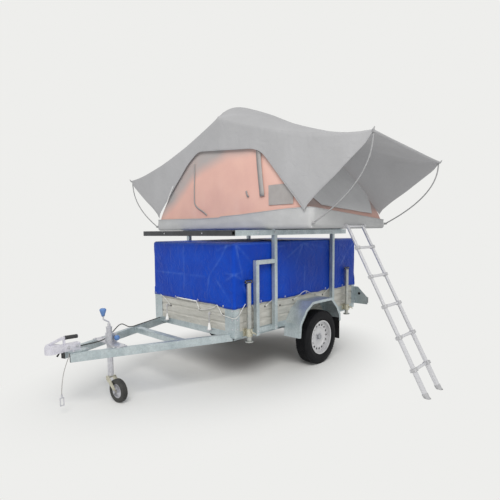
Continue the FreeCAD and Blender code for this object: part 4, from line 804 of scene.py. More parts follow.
def wall_rivets():
    """Rivet spots along the bottom and top of every wall."""
    spots = []
    for height in WALL_ROWS:
        z = GROUND + height
        for i in range(15):
            x = BOX_FRONT + 0.10 + i * (BOX_REAR - BOX_FRONT - 0.20) / 14
            spots += [((x, sign * (BOX_HALF - RIVET_PROUD), z), (0, sign, 0)) for sign in (-1, 1)]
        for i in range(-4, 5):
            spots.append(((BOX_FRONT + RIVET_PROUD, i * RIVET_STEP, z), (-1, 0, 0)))
    return spots


fasteners("wall_rivets", wall_rivets(), 0.0036, aluminium, "trailer", sides=12)
gate_rivets = [((BOX_REAR + RIVET_PROUD, i * RIVET_STEP, GROUND + height), (1, 0, 0)) for i in range(-4, 5)
               for height in GATE_ROWS if height > GATE_ROWS[0] or i not in HINGE_COLUMNS]
fasteners("tailgate_rivets", gate_rivets, 0.0036, aluminium, "tailgate_flap", sides=12)
POST_BOLT_ROWS = (0.545, 0.630, 0.715)
POST_OUT = 0.631
post_bolts = end_spots(BOX_FRONT - 0.0030, -1, [(0.600, GROUND + z) for z in POST_BOLT_ROWS])
for x, rows in ((BOX_FRONT + 0.030, POST_BOLT_ROWS), (BOX_REAR - 0.030, (0.545, 0.660, 0.775))):
    post_bolts += side_spots([(x, POST_OUT, GROUND + z) for z in rows])
fasteners("corner_post_bolts", post_bolts, 0.0052)

cones = []
rod_irons = []
for y, foot in ROD_SPOTS:
    x = BOX_FRONT - 0.022
    z = GROUND + foot
    cones.append(lathe([(0.0065, 0.0), (0.0065, 0.0196), (0.0095, 0.0194), (0.0105, 0.0182), (0.055, 0.0098),
                        (0.066, 0.0082), (0.0685, 0.0062), (0.069, 0.0)], (x, y, z), UP, 28))
    rod_irons.append(slab((BOX_FRONT - 0.044, y - 0.024, z), (BOX_FRONT - 0.0002, y + 0.024, z + 0.006),
                          0.0015))
    rod_irons.append(tube([(x, y, z + 0.062), (x, y, z + 0.150), (x, y, z + 0.166),
                           (x + 0.006, y, z + 0.174)], 0.004, 10))
    rod_irons.append(slab((BOX_FRONT - 0.028, y - 0.009, z + 0.154),
                          (BOX_FRONT - 0.0002, y + 0.009, z + 0.166), 0.002))
cone_piece = built("front_rod_cones", cones, white_plastic)
iron_piece = built("front_rod_irons", rod_irons, bright_zinc, smooth=False)
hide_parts("front_rod_catches")
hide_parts("front_rod_catches")

# Load cover. One piece of coated blue fabric stretched over three bows, folded in at the corners and
# laced down to the walls through eyelets with a thin white cord; its folds catch the light, and a painted
# highlight lies along its folds and its rounded top edge.
TARP_FRONT = 1.361
TARP_REAR = 3.469
TARP_HALF = 0.637
TARP_HEM = GROUND + 0.735
TARP_TOP = GROUND + 1.335
TARP_EDGE = 0.028
TARP_PLAN = (TARP_FRONT, TARP_REAR, -TARP_HALF, TARP_HALF)
TARP_STEP = 0.0135
TARP_SAG = 0.014
BOW_PLACES = (1.4225, 2.4275, 3.4085)
SIDE_CREASES = ((0.01, 1.326, 0.239, 1.125), (0.01, 1.326, 0.12, 0.944), (1.037, 1.066, 1.030, 0.782),
                (1.014, 1.307, 0.699, 1.139), (1.014, 1.307, 1.22, 1.205), (1.014, 1.307, 1.543, 1.22),
                (1.014, 1.307, 0.86, 1.05), (1.761, 1.032, 1.959, 1.22), (1.959, 1.22, 2.08, 1.31),
                (0.0, 1.045, 0.10, 1.075), (0.0, 1.045, 0.08, 1.00), (0.10, 0.95, 0.19, 0.77),
                (1.45, 1.30, 1.62, 1.10), (0.53, 1.27, 0.80, 1.30), (1.70, 1.27, 1.86, 1.24))
FRONT_CREASES = ((0.715, 1.29, 0.718, 0.754), (1.23, 1.012, 0.40, 1.006), (0.07, 1.324, 0.168, 1.185),
                 (0.168, 1.185, 0.33, 1.024), (0.33, 1.024, 0.364, 0.805), (0.0, 1.045, 0.12, 1.06),
                 (0.0, 1.045, 0.10, 0.99), (0.02, 1.32, 0.22, 1.26), (1.23, 1.30, 1.14, 1.16),
                 (0.24, 1.0, 0.05, 0.80))
EYELET_STEP = 0.36
CREASE_WIDTH = 0.0095


def rounded_path(x0, x1, y0, y1, radius, step):
    """Points round a level rectangle with rounded corners: (x, y, outward x, outward y)."""
    spots = []
    corners = ((x0 + radius, y0 + radius, 180), (x1 - radius, y0 + radius, 270),
               (x1 - radius, y1 - radius, 0), (x0 + radius, y1 - radius, 90))
    for i, (cx, cy, start) in enumerate(corners):
        for k in range(7):
            turn = math.radians(start + 15 * k)
            spots.append((cx + radius * math.cos(turn), cy + radius * math.sin(turn), math.cos(turn),
                          math.sin(turn)))
        nx, ny, _ = corners[(i + 1) % 4]
        begin = Vector((cx + radius * math.cos(turn), cy + radius * math.sin(turn)))
        end = Vector((nx + radius * math.cos(turn), ny + radius * math.sin(turn)))
        count = max(1, round((end - begin).length / step))
        for k in range(1, count):
            spot = begin.lerp(end, k / count)
            spots.append((spot.x, spot.y, math.cos(turn), math.sin(turn)))
    return spots


def crease_level(along, height, lines):
    """How much of a sharp fold lies at a place on a flat face, from 0 to 1."""
    level = 0.0
    for x0, z0, x1, z1 in lines:
        dx, dz = x1 - x0, z1 - z0
        share = ((along - x0) * dx + (height - z0) * dz) / (dx * dx + dz * dz)
        held = clamped(share)
        far = math.hypot(along - x0 - held * dx, height - z0 - held * dz)
        fade = (1.0 - 0.75 * held) * min(1.0, 0.35 + 6 * held)
        broken = 0.55 + 0.75 * noise_at(along / 0.05, height / 0.05, x0 * 7)
        level += fade * max(0.1, broken) * math.exp(-(far / CREASE_WIDTH) ** 2)
    return min(1.0, level)


def cloth(name, rows, material, body, thickness=0.0015, whitening_and_highlight=None, closed=False, inside=None):
    """Fabric from rows of points: UV in metres along and across, a crease attribute that sets the lighter
    fold colour, a painted highlight (on the load cover partly whitened coating), and a real thickness.
    """
    count = len(rows[0])
    span = count if closed else count - 1
    points = [Vector(p) for row in rows for p in row]
    middle = rows[len(rows) // 2]
    across = [0.0]
    for j in range(span):
        across.append(across[-1] + (Vector(middle[(j + 1) % count]) - Vector(middle[j])).length)
    column = count // 2
    along = [0.0]
    for i in range(len(rows) - 1):
        along.append(along[-1] + (Vector(rows[i + 1][column]) - Vector(rows[i][column])).length)
    faces = []
    spots = []
    for i in range(len(rows) - 1):
        for j in range(span):
            a = i * count + j
            b = i * count + (j + 1) % count
            faces.append((a, b, b + count, a + count))
            spots += [(across[j], along[i]), (across[j + 1], along[i]), (across[j + 1], along[i + 1]),
                      (across[j], along[i + 1])]
    mesh = bpy.data.meshes.new(name)
    mesh.from_pydata([tuple(p) for p in points], [], faces)
    layer = mesh.uv_layers.new(name="UVMap")
    for item, spot in zip(layer.data, spots):
        item.uv = spot
    shade = mesh.attributes.new("crease", "FLOAT", "POINT")
    for i, item in enumerate(shade.data):
        item.value = whitening_and_highlight[i] if whitening_and_highlight else 0.0
    work = bmesh.new()
    work.from_mesh(mesh)
    bmesh.ops.remove_doubles(work, verts=work.verts, dist=2e-5)
    bmesh.ops.dissolve_degenerate(work, edges=work.edges, dist=1e-6)
    bmesh.ops.recalc_face_normals(work, faces=work.faces)
    if inside is not None:
        inside = Vector(inside)
        outward = sum(f.normal.dot(f.calc_center_median() - inside) * f.calc_area() for f in work.faces)
        if outward < 0:
            bmesh.ops.reverse_faces(work, faces=work.faces)
    work.to_mesh(mesh)
    work.free()
    piece = link(name, mesh, material, body)
    if thickness:
        skin = piece.modifiers.new("thickness", "SOLIDIFY")
        skin.thickness = thickness
        skin.offset = -1
    return piece


WAVE_LENGTH = 0.314


def waves(tree, place, direction, length):
    """Bands of this length in metres across a place: a wave texture of scale 1 repeats every 0.314."""
    wave = add(tree, "ShaderNodeTexWave", {"Vector": place, "Scale": WAVE_LENGTH / length},
               bands_direction=direction)
    return wave.outputs["Fac"]


def woven(name, base, second, whitening_and_highlight_colour, whitening_and_highlight_share, thread=0.0011, relief=0.3, roughness=0.8, cloud=0.25,
          check=0.0, specular=0.3, grime=0.0, painted_shadow_colour=None, painted_glow=0.0, wrinkle=0.0):
    """Woven or coated fabric: threads both ways on the UV map, cloudy colour, wrinkles and lighter folds, a
    painted highlight.

    Where the piece has a fade attribute the cloth turns to a painted shadow colour; glow is painted light:
    the cloth gives off its own colour, brightening its shaded side like daylight through thin cloth.
    """
    material, tree = empty_material(name)
    place = add(tree, "ShaderNodeTexCoord").outputs
    spread = add(tree, "ShaderNodeTexNoise", {"Vector": place["Object"], "Scale": 1 / cloud, "Detail": 6.0,
                                              "Roughness": 0.6}).outputs["Fac"]
    colour = mixed(tree, ranged(tree, spread, 0.35, 0.68), (*base, 1), (*second, 1))
    # Painted highlight: the colour turns lighter where the crease attribute is set; on the load cover this is
    # partly whitened coating.
    crease = add(tree, "ShaderNodeAttribute", attribute_name="crease").outputs["Fac"]
    colour = mixed(tree, maths(tree, "MULTIPLY", crease, whitening_and_highlight_share), colour, (*whitening_and_highlight_colour, 1))
    if grime:
        dust = add(tree, "ShaderNodeTexNoise", {"Vector": place["Object"], "Scale": 28.0, "Detail": 8.0})
        dust = ranged(tree, dust.outputs["Fac"], 0.56, 0.75, high=grime)
        colour = mixed(tree, dust, colour, (*(c * 0.55 for c in base), 1))
    height = maths(tree, "MULTIPLY", *(waves(tree, place["UV"], way, thread) for way in "XY"))
    if check:
        bars = [ranged(tree, waves(tree, place["UV"], way, check), 0.93) for way in "XY"]
        height = maths(tree, "ADD", height, maths(tree, "MAXIMUM", *bars))
    bump = add(tree, "ShaderNodeBump", {"Strength": relief, "Distance": thread * 0.4, "Height": height})
    if wrinkle:
        rumple = add(tree, "ShaderNodeTexNoise",
                     {"Vector": place["Object"], "Scale": 9.0, "Detail": 3.0, "Distortion": 1.6})
        bump = add(tree, "ShaderNodeBump", {"Strength": 1.0, "Distance": wrinkle,
                                            "Height": rumple.outputs["Fac"], "Normal": bump.outputs[0]})
    rough = ranged(tree, spread, low=max(0.1, roughness - 0.1), high=min(1.0, roughness + 0.1))
    # Painted shadow: where the fade attribute is set, the colour turns to the shadow colour.
    if painted_shadow_colour:
        fade = add(tree, "ShaderNodeAttribute", attribute_name="fade").outputs["Fac"]
        colour = mixed(tree, fade, colour, (*painted_shadow_colour, 1))
    # Painted light: the cloth gives off its own colour at the glow's strength.
    return shaded(material, colour, rough, bump,
                  **{"Specular IOR Level": specular, "Emission Color": colour, "Emission Strength": painted_glow})


def tarp_offset(x, y, nx, ny, height):
    """How far the cover stands off its flat face, and how much of a fold lies there; that share also sets the
    lighter fold colour, partly whitened coating and partly painted highlight.
    """
    if nx < -0.7:
        crease = crease_level(y + BOX_HALF, height, FRONT_CREASES)
    elif ny < -0.7:
        crease = crease_level(x - BOX_FRONT, height, SIDE_CREASES)
    elif nx > 0.7:
        crease = crease_level(BOX_HALF - y, height, FRONT_CREASES)
    else:
        crease = crease_level(BOX_REAR - x, height, SIDE_CREASES)
    broad = noise.noise(Vector((x, y, height)) / 0.30 + Vector((3.1, 0.7, 5.2)))
    small = noise.noise(Vector((x, y, height)) / 0.075)
    drape = noise.noise(Vector((x / 0.16, y / 0.16, height / 0.55)) + Vector((1.3, 4.1, 0.2)))
    offset = 0.0036 * broad + 0.0030 * drape + 0.0012 * small + 0.0050 * crease
    lowest = -0.0005 if height < 0.84 else -0.0045
    if height < 0.84:
        lowest = max(lowest, 0.0065 * min(1.0, 4 * min(abs(nx), abs(ny))))
    return min(0.0066, max(lowest, offset)), crease


def tarp_hem(x, y, nx):
    """Height of the hem: it scallops between the lashings and dips at the near front corner."""
    turn = math.atan2(y, x - 2.4)
    wave = 0.0035 * math.sin(turn * 17) + 0.0025 * math.sin(turn * 29 + 1)
    corner = math.exp(-((x - TARP_FRONT) ** 2 + (y + TARP_HALF) ** 2) / 0.05)
    rear = 0.0935 if nx > 0.7 else 0.0
    return TARP_HEM + 0.018 + wave - 0.022 * corner + rear


def tarp_top(x, y):
    """Height of the cover's roof: it sags between the bows, less near the long rails."""
    gap = 0.0
    for first, second in zip(BOW_PLACES, BOW_PLACES[1:]):
        if first < x < second:
            gap = math.sin(math.pi * (x - first) / (second - first))
    width = max(0.0, 1 - (y / 0.60) ** 2)
    ripple = 0.003 * noise.noise(Vector((x, y, 0)) / 0.14)
    return TARP_TOP - 0.001 - TARP_SAG * gap * width + ripple * width


def tarp_rows():
    """Rows of the cover from its hem up, over the rounded top edge and in over the roof."""
    outline = rounded_path(*TARP_PLAN, TARP_EDGE, TARP_STEP)
    rows, whitening_and_highlight = [], []
    steps = 44
    for i in range(steps):
        row = []
        for x, y, nx, ny in outline:
            hem = tarp_hem(x, y, nx)
            z = hem + (TARP_TOP - TARP_EDGE - hem) * i / (steps - 1)
            offset, crease = tarp_offset(x, y, nx, ny, z - GROUND)
            row.append((x + nx * offset, y + ny * offset, z))
            # Lighter along the folds: partly whitened coating, partly painted highlight.
            whitening_and_highlight.append(crease)
        rows.append(row)
    for i in range(1, 6):
        turn = math.radians(18 * i)
        row = []
        for x, y, nx, ny in outline:
            inward = TARP_EDGE * (1 - math.cos(turn))
            offset, crease = tarp_offset(x, y, nx, ny, TARP_TOP - TARP_EDGE - GROUND)
            offset *= 1 - i / 6
            row.append((x + nx * (offset - inward), y + ny * (offset - inward),
                        TARP_TOP - TARP_EDGE + TARP_EDGE * math.sin(turn) - 0.001))
            # Painted highlight along the rounded top edge.
            whitening_and_highlight.append(0.5)
        rows.append(row)
    reach = TARP_HALF - TARP_EDGE
    for i in range(1, 15):
        share = i / 14
        row = []
        for x, y, nx, ny in outline:
            px, py = x - nx * TARP_EDGE, y - ny * TARP_EDGE
            goal = min(TARP_REAR - TARP_EDGE - reach, max(TARP_FRONT + TARP_EDGE + reach, px))
            qx, qy = px + (goal - px) * share, py * (1 - share)
            row.append((qx, qy, tarp_top(qx, qy)))
            whitening_and_highlight.append(0.0)
        rows.append(row)
    return rows, whitening_and_highlight


# The lighter blue is a painted highlight along the rounded top edge, and along the folds partly whitened
# coating, partly painted highlight.
tarp_blue = woven("blue_coated_fabric", (0.0018, 0.040, 0.37), (0.003, 0.058, 0.45), (0.12, 0.24, 0.62), 0.42,
                  thread=0.0017, relief=0.16, roughness=0.36, cloud=0.30, specular=0.17, grime=0.12,
                  wrinkle=0.009)
cord_white = woven("white_lashing_cord", (0.62, 0.62, 0.60), (0.72, 0.72, 0.70), (0.7, 0.7, 0.7), 0.0,
                   thread=0.002, relief=0.4, roughness=0.85, cloud=0.05)
repaint(galvanised, "tarp_frame")
tarp_rings, tarp_whitening_and_highlight = tarp_rows()
tarp_piece = cloth("load_cover", tarp_rings, tarp_blue, "trailer", 0.0014, tarp_whitening_and_highlight,
                   closed=True, inside=(2.4, 0.0, 0.4))
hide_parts("tarp")


def hem_band():
    """Doubled hem: a flat band that follows the lower edge of the cover."""
    outline = rounded_path(*TARP_PLAN, TARP_EDGE, 0.03)
    rows = []
    for rise, proud in ((0.0, 0.0), (0.0005, 0.0016), (0.030, 0.0018), (0.034, 0.0004)):
        row = []
        for x, y, nx, ny in outline:
            z = tarp_hem(x, y, nx) + rise
            offset = tarp_offset(x, y, nx, ny, z - GROUND)[0] + proud
            row.append((x + nx * offset, y + ny * offset, z))
        rows.append(row)
    return rows


hem_piece = cloth("load_cover_hem", hem_band(), tarp_blue, "trailer", 0.0008, closed=True,
                  inside=(2.4, 0.0, 0.22))


def eyelet_spots():
    """Places of the eyelets in the hem, with the way each one faces."""
    spots = []
    gone = 0.0
    outline = rounded_path(*TARP_PLAN, TARP_EDGE, TARP_STEP)
    for (x0, y0, _, _), (x, y, nx, ny) in zip(outline, outline[1:]):
        gone += math.hypot(x - x0, y - y0)
        if gone > EYELET_STEP and abs(abs(nx) + abs(ny) - 1) < 0.01:
            gone = 0.0
            z = tarp_hem(x, y, nx) + 0.017
            offset = tarp_offset(x, y, nx, ny, z - GROUND)[0] + 0.0022
            spots.append(((x + nx * offset, y + ny * offset, z), (nx, ny, 0)))
    return spots


eyelets = [lathe([(-0.0008, 0.0048), (0.0006, 0.0044), (0.0014, 0.0062), (0.0012, 0.0088), (-0.0006, 0.0098)],
                 place, way, 18, closed=True) for place, way in eyelet_spots()]
eyelet_piece = built("load_cover_eyelets", eyelets, bright_zinc)


def on_front(y, height, off=0.0145):
    """Place on the front of the box from the distance to its near corner and the height above ground."""
    return Vector((BOX_FRONT - off, y - BOX_HALF, GROUND + height))


def on_side(x, height, off=0.0145):
    """Place on the near side of the box from the distance to its front and the height above ground."""
    return Vector((BOX_FRONT + x, -BOX_HALF - off, GROUND + height))


CORD_RUNS = ((on_front(1.136, 0.763), on_front(1.05, 0.715, 0.008), on_front(0.975, 0.661, 0.006)),
             (on_front(0.527, 0.753), on_front(0.505, 0.71, 0.010), on_front(0.491, 0.678, 0.006),
              on_front(0.40, 0.688, 0.008), on_front(0.282, 0.718, 0.010), on_front(0.235, 0.748)),
             (on_front(0.224, 0.754), on_front(0.19, 0.71, 0.010), on_front(0.157, 0.668, 0.008),
              on_front(0.06, 0.655, 0.010), Vector((BOX_FRONT - 0.009, -BOX_HALF - 0.009, GROUND + 0.652)),
              on_side(0.041, 0.672, 0.009), on_side(0.09, 0.73, 0.012), on_side(0.125, 0.769)),
             (on_side(0.213, 0.750), on_side(0.246, 0.705, 0.008), on_side(0.275, 0.679, 0.006)),
             (on_side(0.409, 0.709, 0.008), on_side(0.46, 0.737, 0.010), on_side(0.513, 0.762)),
             (on_side(0.849, 0.717, 0.006), on_side(0.94, 0.752, 0.010), on_side(1.041, 0.788),
              on_side(1.14, 0.757, 0.010), on_side(1.246, 0.723, 0.006)),
             (on_side(1.394, 0.705, 0.006), on_side(1.45, 0.737, 0.010), on_side(1.506, 0.768)))


def rounded_run(run, parts=5):
    """Points on a soft curve through a cord's few places."""
    soft = []
    for i in range(len(run) - 1):
        before = run[max(0, i - 1)]
        after = run[min(len(run) - 1, i + 2)]
        for k in range(parts):
            t = k / parts
            start, end = run[i], run[i + 1]
            soft.append(0.5 * ((2 * start) + (end - before) * t
                               + (2 * before - 5 * start + 4 * end - after) * t * t
                               + (3 * start - before - 3 * end + after) * t ** 3))
    return soft + [run[-1]]


lashings = [tube(rounded_run(run), 0.0036, 8) for run in CORD_RUNS]
lashings += [flipped(shape) for shape in lashings[3:]]
lash_piece = built("load_cover_lashing", lashings, cord_white)
bar_piece = built("load_cover_hem_bar",
                  [tapered(on_front(0.846, 0.762, 0.017), on_front(0.519, 0.756, 0.017),
                           ((0, 0.003), (0.01, 0.0055), (0.99, 0.0055), (1, 0.003)), 12)], white_plastic)
hooks = side_spots([(x, BOX_HALF, GROUND + z) for x, z in ((1.645, 0.680), (1.779, 0.706), (2.006, 0.687),
                                                           (2.219, 0.715), (2.616, 0.722), (2.764, 0.704))])
hooks += [((BOX_FRONT, y - BOX_HALF, GROUND + z), (-1, 0, 0))
          for y, z in ((0.975, 0.658), (0.491, 0.676), (0.157, 0.668))]
fasteners("lashing_buttons", hooks, 0.0065, black_plastic, "trailer", sides=14)

# Rack. Square galvanised tube on four posts with a goose-neck guard beside each front post; the front
# rail is black, with framed end plugs, and black strips lie on the side rails where the tent rests.
RACK_HALF = 0.690
RACK_LOW = GROUND + 1.395
RACK_HIGH = GROUND + 1.445
RACK_FRONT = 1.305
RACK_MIDDLE = GROUND + 1.420
STRIP_Y = 0.665

black_steel = surface("black_painted_steel", (0.022, 0.023, 0.026), (0.045, 0.047, 0.052), 0.1, 0.42, 0.07,
                      grain=0.2, edge=0.0022, edge_colour=(0.30, 0.32, 0.35))
repaint(galvanised, "rack_side_rails", "rack_posts", "tent_channels")
repaint(black_steel, "rack_cross_rails")
plugs = []
for sign in (-1, 1):
    y0, y1 = sorted((sign * RACK_HALF, sign * (RACK_HALF + 0.0035)))
    plugs.append(slab((RACK_FRONT - 0.024, y0, RACK_LOW + 0.001), (RACK_FRONT + 0.024, y1, RACK_HIGH - 0.001),
                      0.0015))
    plugs.append(slab((RACK_FRONT - 0.014, min(y0, y1 * 1.004), RACK_LOW + 0.011),
                      (RACK_FRONT + 0.014, max(y1, y0 + 0.0055), RACK_HIGH - 0.011), 0.001))
built("rack_end_plugs", plugs, black_plastic, smooth=False)
strips = [slab((1.888, sign * STRIP_Y - 0.016, RACK_HIGH - 0.0002),
               (2.880, sign * STRIP_Y + 0.016, RACK_HIGH + 0.0045), 0.001) for sign in (-1, 1)]
built("rack_strips", strips, black_rubber, smooth=False)
rack_bolts = side_spots([(x, RACK_HALF, RACK_MIDDLE) for x in (1.62, 1.86, 2.23, 2.86, 3.05)])
rack_bolts += side_spots([(x, 0.685, GROUND + z) for x, z in ((1.883, 0.495), (1.620, 0.495), (2.900, 0.495),
                                                              (1.883, 1.300), (2.900, 1.300))])
fasteners("rack_bolts", rack_bolts, 0.0060)
front_bolts = [((RACK_FRONT - 0.025, y, RACK_MIDDLE), (-1, 0, 0)) for y in (-0.30, 0.30)]
fasteners("rack_front_bolts", front_bolts, 0.0045)
WELD_RUNS = ((1.863, 1.903, 0.685, 1.395, 1.395, 0.0030), (2.880, 2.920, 0.685, 1.395, 1.395, 0.0030),
             (1.863, 1.863, 0.685, 1.165, 1.125, 0.0028), (1.600, 1.640, 0.686, 1.1235, 1.1235, 0.0022),
             (1.594, 1.909, 0.6455, 0.515, 0.515, 0.0026), (2.840, 2.960, 0.6455, 0.515, 0.515, 0.0026))
post_joints = [bead([(x0, sign * y, GROUND + low), (x1, sign * y, GROUND + high)], radius) for sign in (-1, 1)
               for x0, x1, y, low, high, radius in WELD_RUNS]
built("rack_welds", post_joints, galvanised)

# Prop stands. Zinc-plated tube legs with a foot plate slide in yellow-zinc clamps on the sills; each is
# locked by a wing screw and lifted by a loop handle with a black sleeve.
PROP_PLACES = (("prop_front", 1.515), ("prop_rear", 3.222))
PROP_OUT = 0.668
PROP_HANDLE = GROUND + 0.976
PROP_SCREW = GROUND + 0.505
HANDLE_HALF = 0.034
HANDLE_CORNER = 0.0105

prop_zinc = surface("prop_zinc", (0.40, 0.42, 0.41), (0.52, 0.52, 0.475), 0.7, 0.36, 0.08, cells=0.05,
                    edge=0.0012)
repaint(yellow_zinc, "prop_clamps")
for place_name, x in PROP_PLACES:
    for side_name, sign in (("left", -1), ("right", 1)):
        body = place_name + "_" + side_name
        y = sign * PROP_OUT
        repaint(prop_zinc, body.replace("prop_", "prop_leg_"))
        corners = []
        for shift, start in ((HANDLE_HALF, -90), (HANDLE_HALF, 0), (-HANDLE_HALF, 90), (-HANDLE_HALF, 180)):
            for k in range(7):
                turn = math.radians(start + 15 * k)
                corners.append(Vector((x + shift + HANDLE_CORNER * math.cos(turn), y,
                                       PROP_HANDLE + HANDLE_CORNER * math.sin(turn))))
        grip = tube(corners + corners[:1], 0.0066, 10)
        built(body + "_grip", [grip], black_rubber, body)
        stem = tapered((x, y + sign * 0.030, PROP_SCREW), (x, y + sign * 0.062, PROP_SCREW),
                       ((0, 0.006), (0.2, 0.006), (0.21, 0.0095), (0.5, 0.0095), (0.51, 0.005), (1, 0.005)),
                       14)
        wings = tapered((x - 0.030, y + sign * 0.064, GROUND + 0.523),
                        (x + 0.030, y + sign * 0.064, GROUND + 0.487),
                        ((0, 0.004), (0.04, 0.0065), (0.3, 0.005), (0.5, 0.0085), (0.7, 0.005),
                         (0.96, 0.0065), (1, 0.004)), 12)
        bosses = [tapered((x + dx, sign * (BOX_HALF + 0.0115), PROP_SCREW),
                          (x + dx, sign * (BOX_HALF + 0.020), PROP_SCREW),
                          ((0, 0.009), (0.35, 0.009), (0.36, 0.0065), (1, 0.0062)), 6)
                  for dx in (-0.036, 0.036)]
        collars = [lathe([(-0.004, 0.0308), (-0.004, 0.0330), (0.004, 0.0330), (0.004, 0.0308)],
                         (x, y, GROUND + z), UP, 28, closed=True) for z in (0.476, 0.534)]
        built(body + "_screw", [stem, wings] + bosses + collars, yellow_zinc)

# Rear lamps. Each galvanised bracket is a folded plate with a cable hole; the lamp is a black housing
# with a red lens, an amber turn field and a clear reversing field.
LAMP_FACE = 3.529
LAMP_LOW = GROUND + 0.525
LAMP_HIGH = GROUND + 0.595
LENS_RIB = 0.004


def lens_material(name, base, deep):
    """Moulded lens: even colour with a fine rib pattern under a glossy face."""
    material, tree = empty_material(name)
    place = add(tree, "ShaderNodeTexCoord").outputs["Object"]
    cloud = add(tree, "ShaderNodeTexNoise", {"Vector": place, "Scale": 30.0}).outputs["Fac"]
    bump = add(tree, "ShaderNodeBump",
               {"Strength": 0.35, "Distance": 0.0012, "Height": waves(tree, place, "Y", LENS_RIB)})
    return shaded(material, mixed(tree, cloud, (*base, 1), (*deep, 1)), 0.16, bump)


red_lens = lens_material("red_lens", (0.42, 0.012, 0.012), (0.30, 0.006, 0.008))
amber_lens = lens_material("amber_lens", (0.72, 0.22, 0.015), (0.60, 0.15, 0.01))
clear_lens = lens_material("clear_lens", (0.66, 0.67, 0.68), (0.55, 0.56, 0.58))
repaint(galvanised, "rear_lamp_brackets")
repaint(black_plastic, "rear_lamps")
for lens_name, material, near, far in (("red", red_lens, 0.600, 0.712), ("amber", amber_lens, 0.714, 0.756),
                                       ("clear", clear_lens, 0.758, 0.788)):
    lenses = [slab((LAMP_FACE - 0.004, min(sign * near, sign * far), LAMP_LOW + 0.005),
                   (LAMP_FACE + 0.0045, max(sign * near, sign * far), LAMP_HIGH - 0.005), 0.0035, segments=3)
              for sign in (-1, 1)]
    built("rear_lenses_" + lens_name, lenses, material, smooth=False)
grommets = [lathe([(-0.0025, 0.0), (-0.0025, 0.0165), (-0.0002, 0.0165), (-0.0002, 0.0139), (0.0042, 0.0139),
                   (0.0042, 0.0165), (0.0065, 0.0165), (0.0065, 0.0)],
                  (BOX_REAR + 0.025, sign * 0.690, GROUND + 0.640), (1, 0, 0), 24) for sign in (-1, 1)]
built("lamp_cable_grommets", grommets, black_rubber)
bracket_bolts = side_spots([(BOX_REAR + 0.012, 0.6302, GROUND + z) for z in (0.545, 0.690)])
fasteners("rear_lamp_bolts", bracket_bolts, 0.0050)

# Tent base and channels. Two insulated panels on alloy frames, hinged at the middle, bolted through two
# galvanised channels to the rack's side rails.
tube_alloy = surface("alloy_tube", (0.60, 0.60, 0.625), (0.70, 0.70, 0.72), 0.6, 0.34, 0.06, grain=0.1,
                     grain_size=0.0008, edge=0.0012, streak=0.1)
repaint(tube_alloy, "tent_base", "tent_hoops", "ladder_bracket")
channel_bolts = side_spots([(x, 0.6905, RACK_HIGH + 0.0075) for x in (1.8425, 3.0525)])
fasteners("tent_channel_bolts", channel_bolts, 0.0042)

# Base cover. A ring of grey coated canvas drawn round the base, hemmed with piping along its top, which
# climbs to the front corner beside the ladder and steps down at the middle of the long sides.
SKIRT_X = (1.768, 3.132)
SKIRT_Y = (-1.187, 1.157)
SKIRT_LOW = GROUND + 1.4515
SKIRT_CORNER = 0.045
SKIRT_FRONT_EDGE = ((-1.187, 1.639), (-1.10, 1.639), (-0.888, 1.635), (-0.607, 1.619), (-0.309, 1.601),
                    (-0.014, 1.591), (-0.006, 1.581), (0.32, 1.579), (0.686, 1.584), (1.031, 1.587),
                    (1.157, 1.587))
SKIRT_REAR_EDGE = ((-1.187, 1.543), (-0.6, 1.562), (-0.016, 1.575), (0.6, 1.578), (1.157, 1.585))


def line_at(pairs, at):
    """Value of a broken line at a place."""
    if at <= pairs[0][0]:
        return pairs[0][1]
    for (x0, v0), (x1, v1) in zip(pairs, pairs[1:]):
        if at <= x1:
            return v0 + (v1 - v0) * (at - x0) / (x1 - x0)
    return pairs[-1][1]


def skirt_top(x, y):
    """Height of the base cover's top edge above the ground."""
    share = (x - SKIRT_X[0]) / (SKIRT_X[1] - SKIRT_X[0])
    front, rear = line_at(SKIRT_FRONT_EDGE, y), line_at(SKIRT_REAR_EDGE, y)
    return front + (rear - front) * clamped(share)


def skirt_rows():
    """Rows of the base cover from its lower seam to its top edge."""
    outline = rounded_path(*SKIRT_X, *SKIRT_Y, SKIRT_CORNER, 0.022)
    rows, whitening_and_highlight = [], []
    steps = 14
    for i in range(steps):
        share = i / (steps - 1)
        row = []
        for x, y, nx, ny in outline:
            top = GROUND + skirt_top(x, y)
            z = SKIRT_LOW + (top - SKIRT_LOW) * share
            ladder = math.exp(-((x - 2.461) / 0.22) ** 2) if ny < -0.5 else 0.0
            belly = 0.0045 * math.sin(math.pi * min(1.0, share * 1.25)) if share < 0.8 else 0.0
            wrinkle = 0.0028 * noise_at(x / 0.16, y / 0.16, z / 0.05) * math.sin(math.pi * share)
            tuck = -0.014 * max(0.0, 1 - share * 9)
            offset = (belly + max(-0.003, wrinkle)) * (1 - ladder) + tuck
            row.append((x + nx * offset, y + ny * offset, z))
            # Painted highlight on the crests of the wrinkles.
            whitening_and_highlight.append(max(0.0, wrinkle * 200))
        rows.append(row)
    return rows, whitening_and_highlight


# The lighter grey is a painted highlight on the crests of the wrinkles.
canvas_grey = woven("grey_coated_canvas", (0.440, 0.443, 0.445), (0.495, 0.498, 0.50), (0.55, 0.55, 0.56),
                    0.5, thread=0.0014, relief=0.3, roughness=0.75, cloud=0.22, grime=0.10)
skirt_rings, skirt_highlight = skirt_rows()
skirt_piece = cloth("base_cover", skirt_rings, canvas_grey, "trailer", 0.0018, skirt_highlight,
                    closed=True, inside=(2.45, 0.0, 1.0))
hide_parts("tent_skirt")
piping_path = [Vector((x, y, GROUND + skirt_top(x, y) - 0.002))
               for x, y, _, _ in rounded_path(*SKIRT_X, *SKIRT_Y, SKIRT_CORNER, 0.03)]
piping = built("base_cover_piping", [tube(piping_path + piping_path[:1], 0.0034, 8)], canvas_grey)

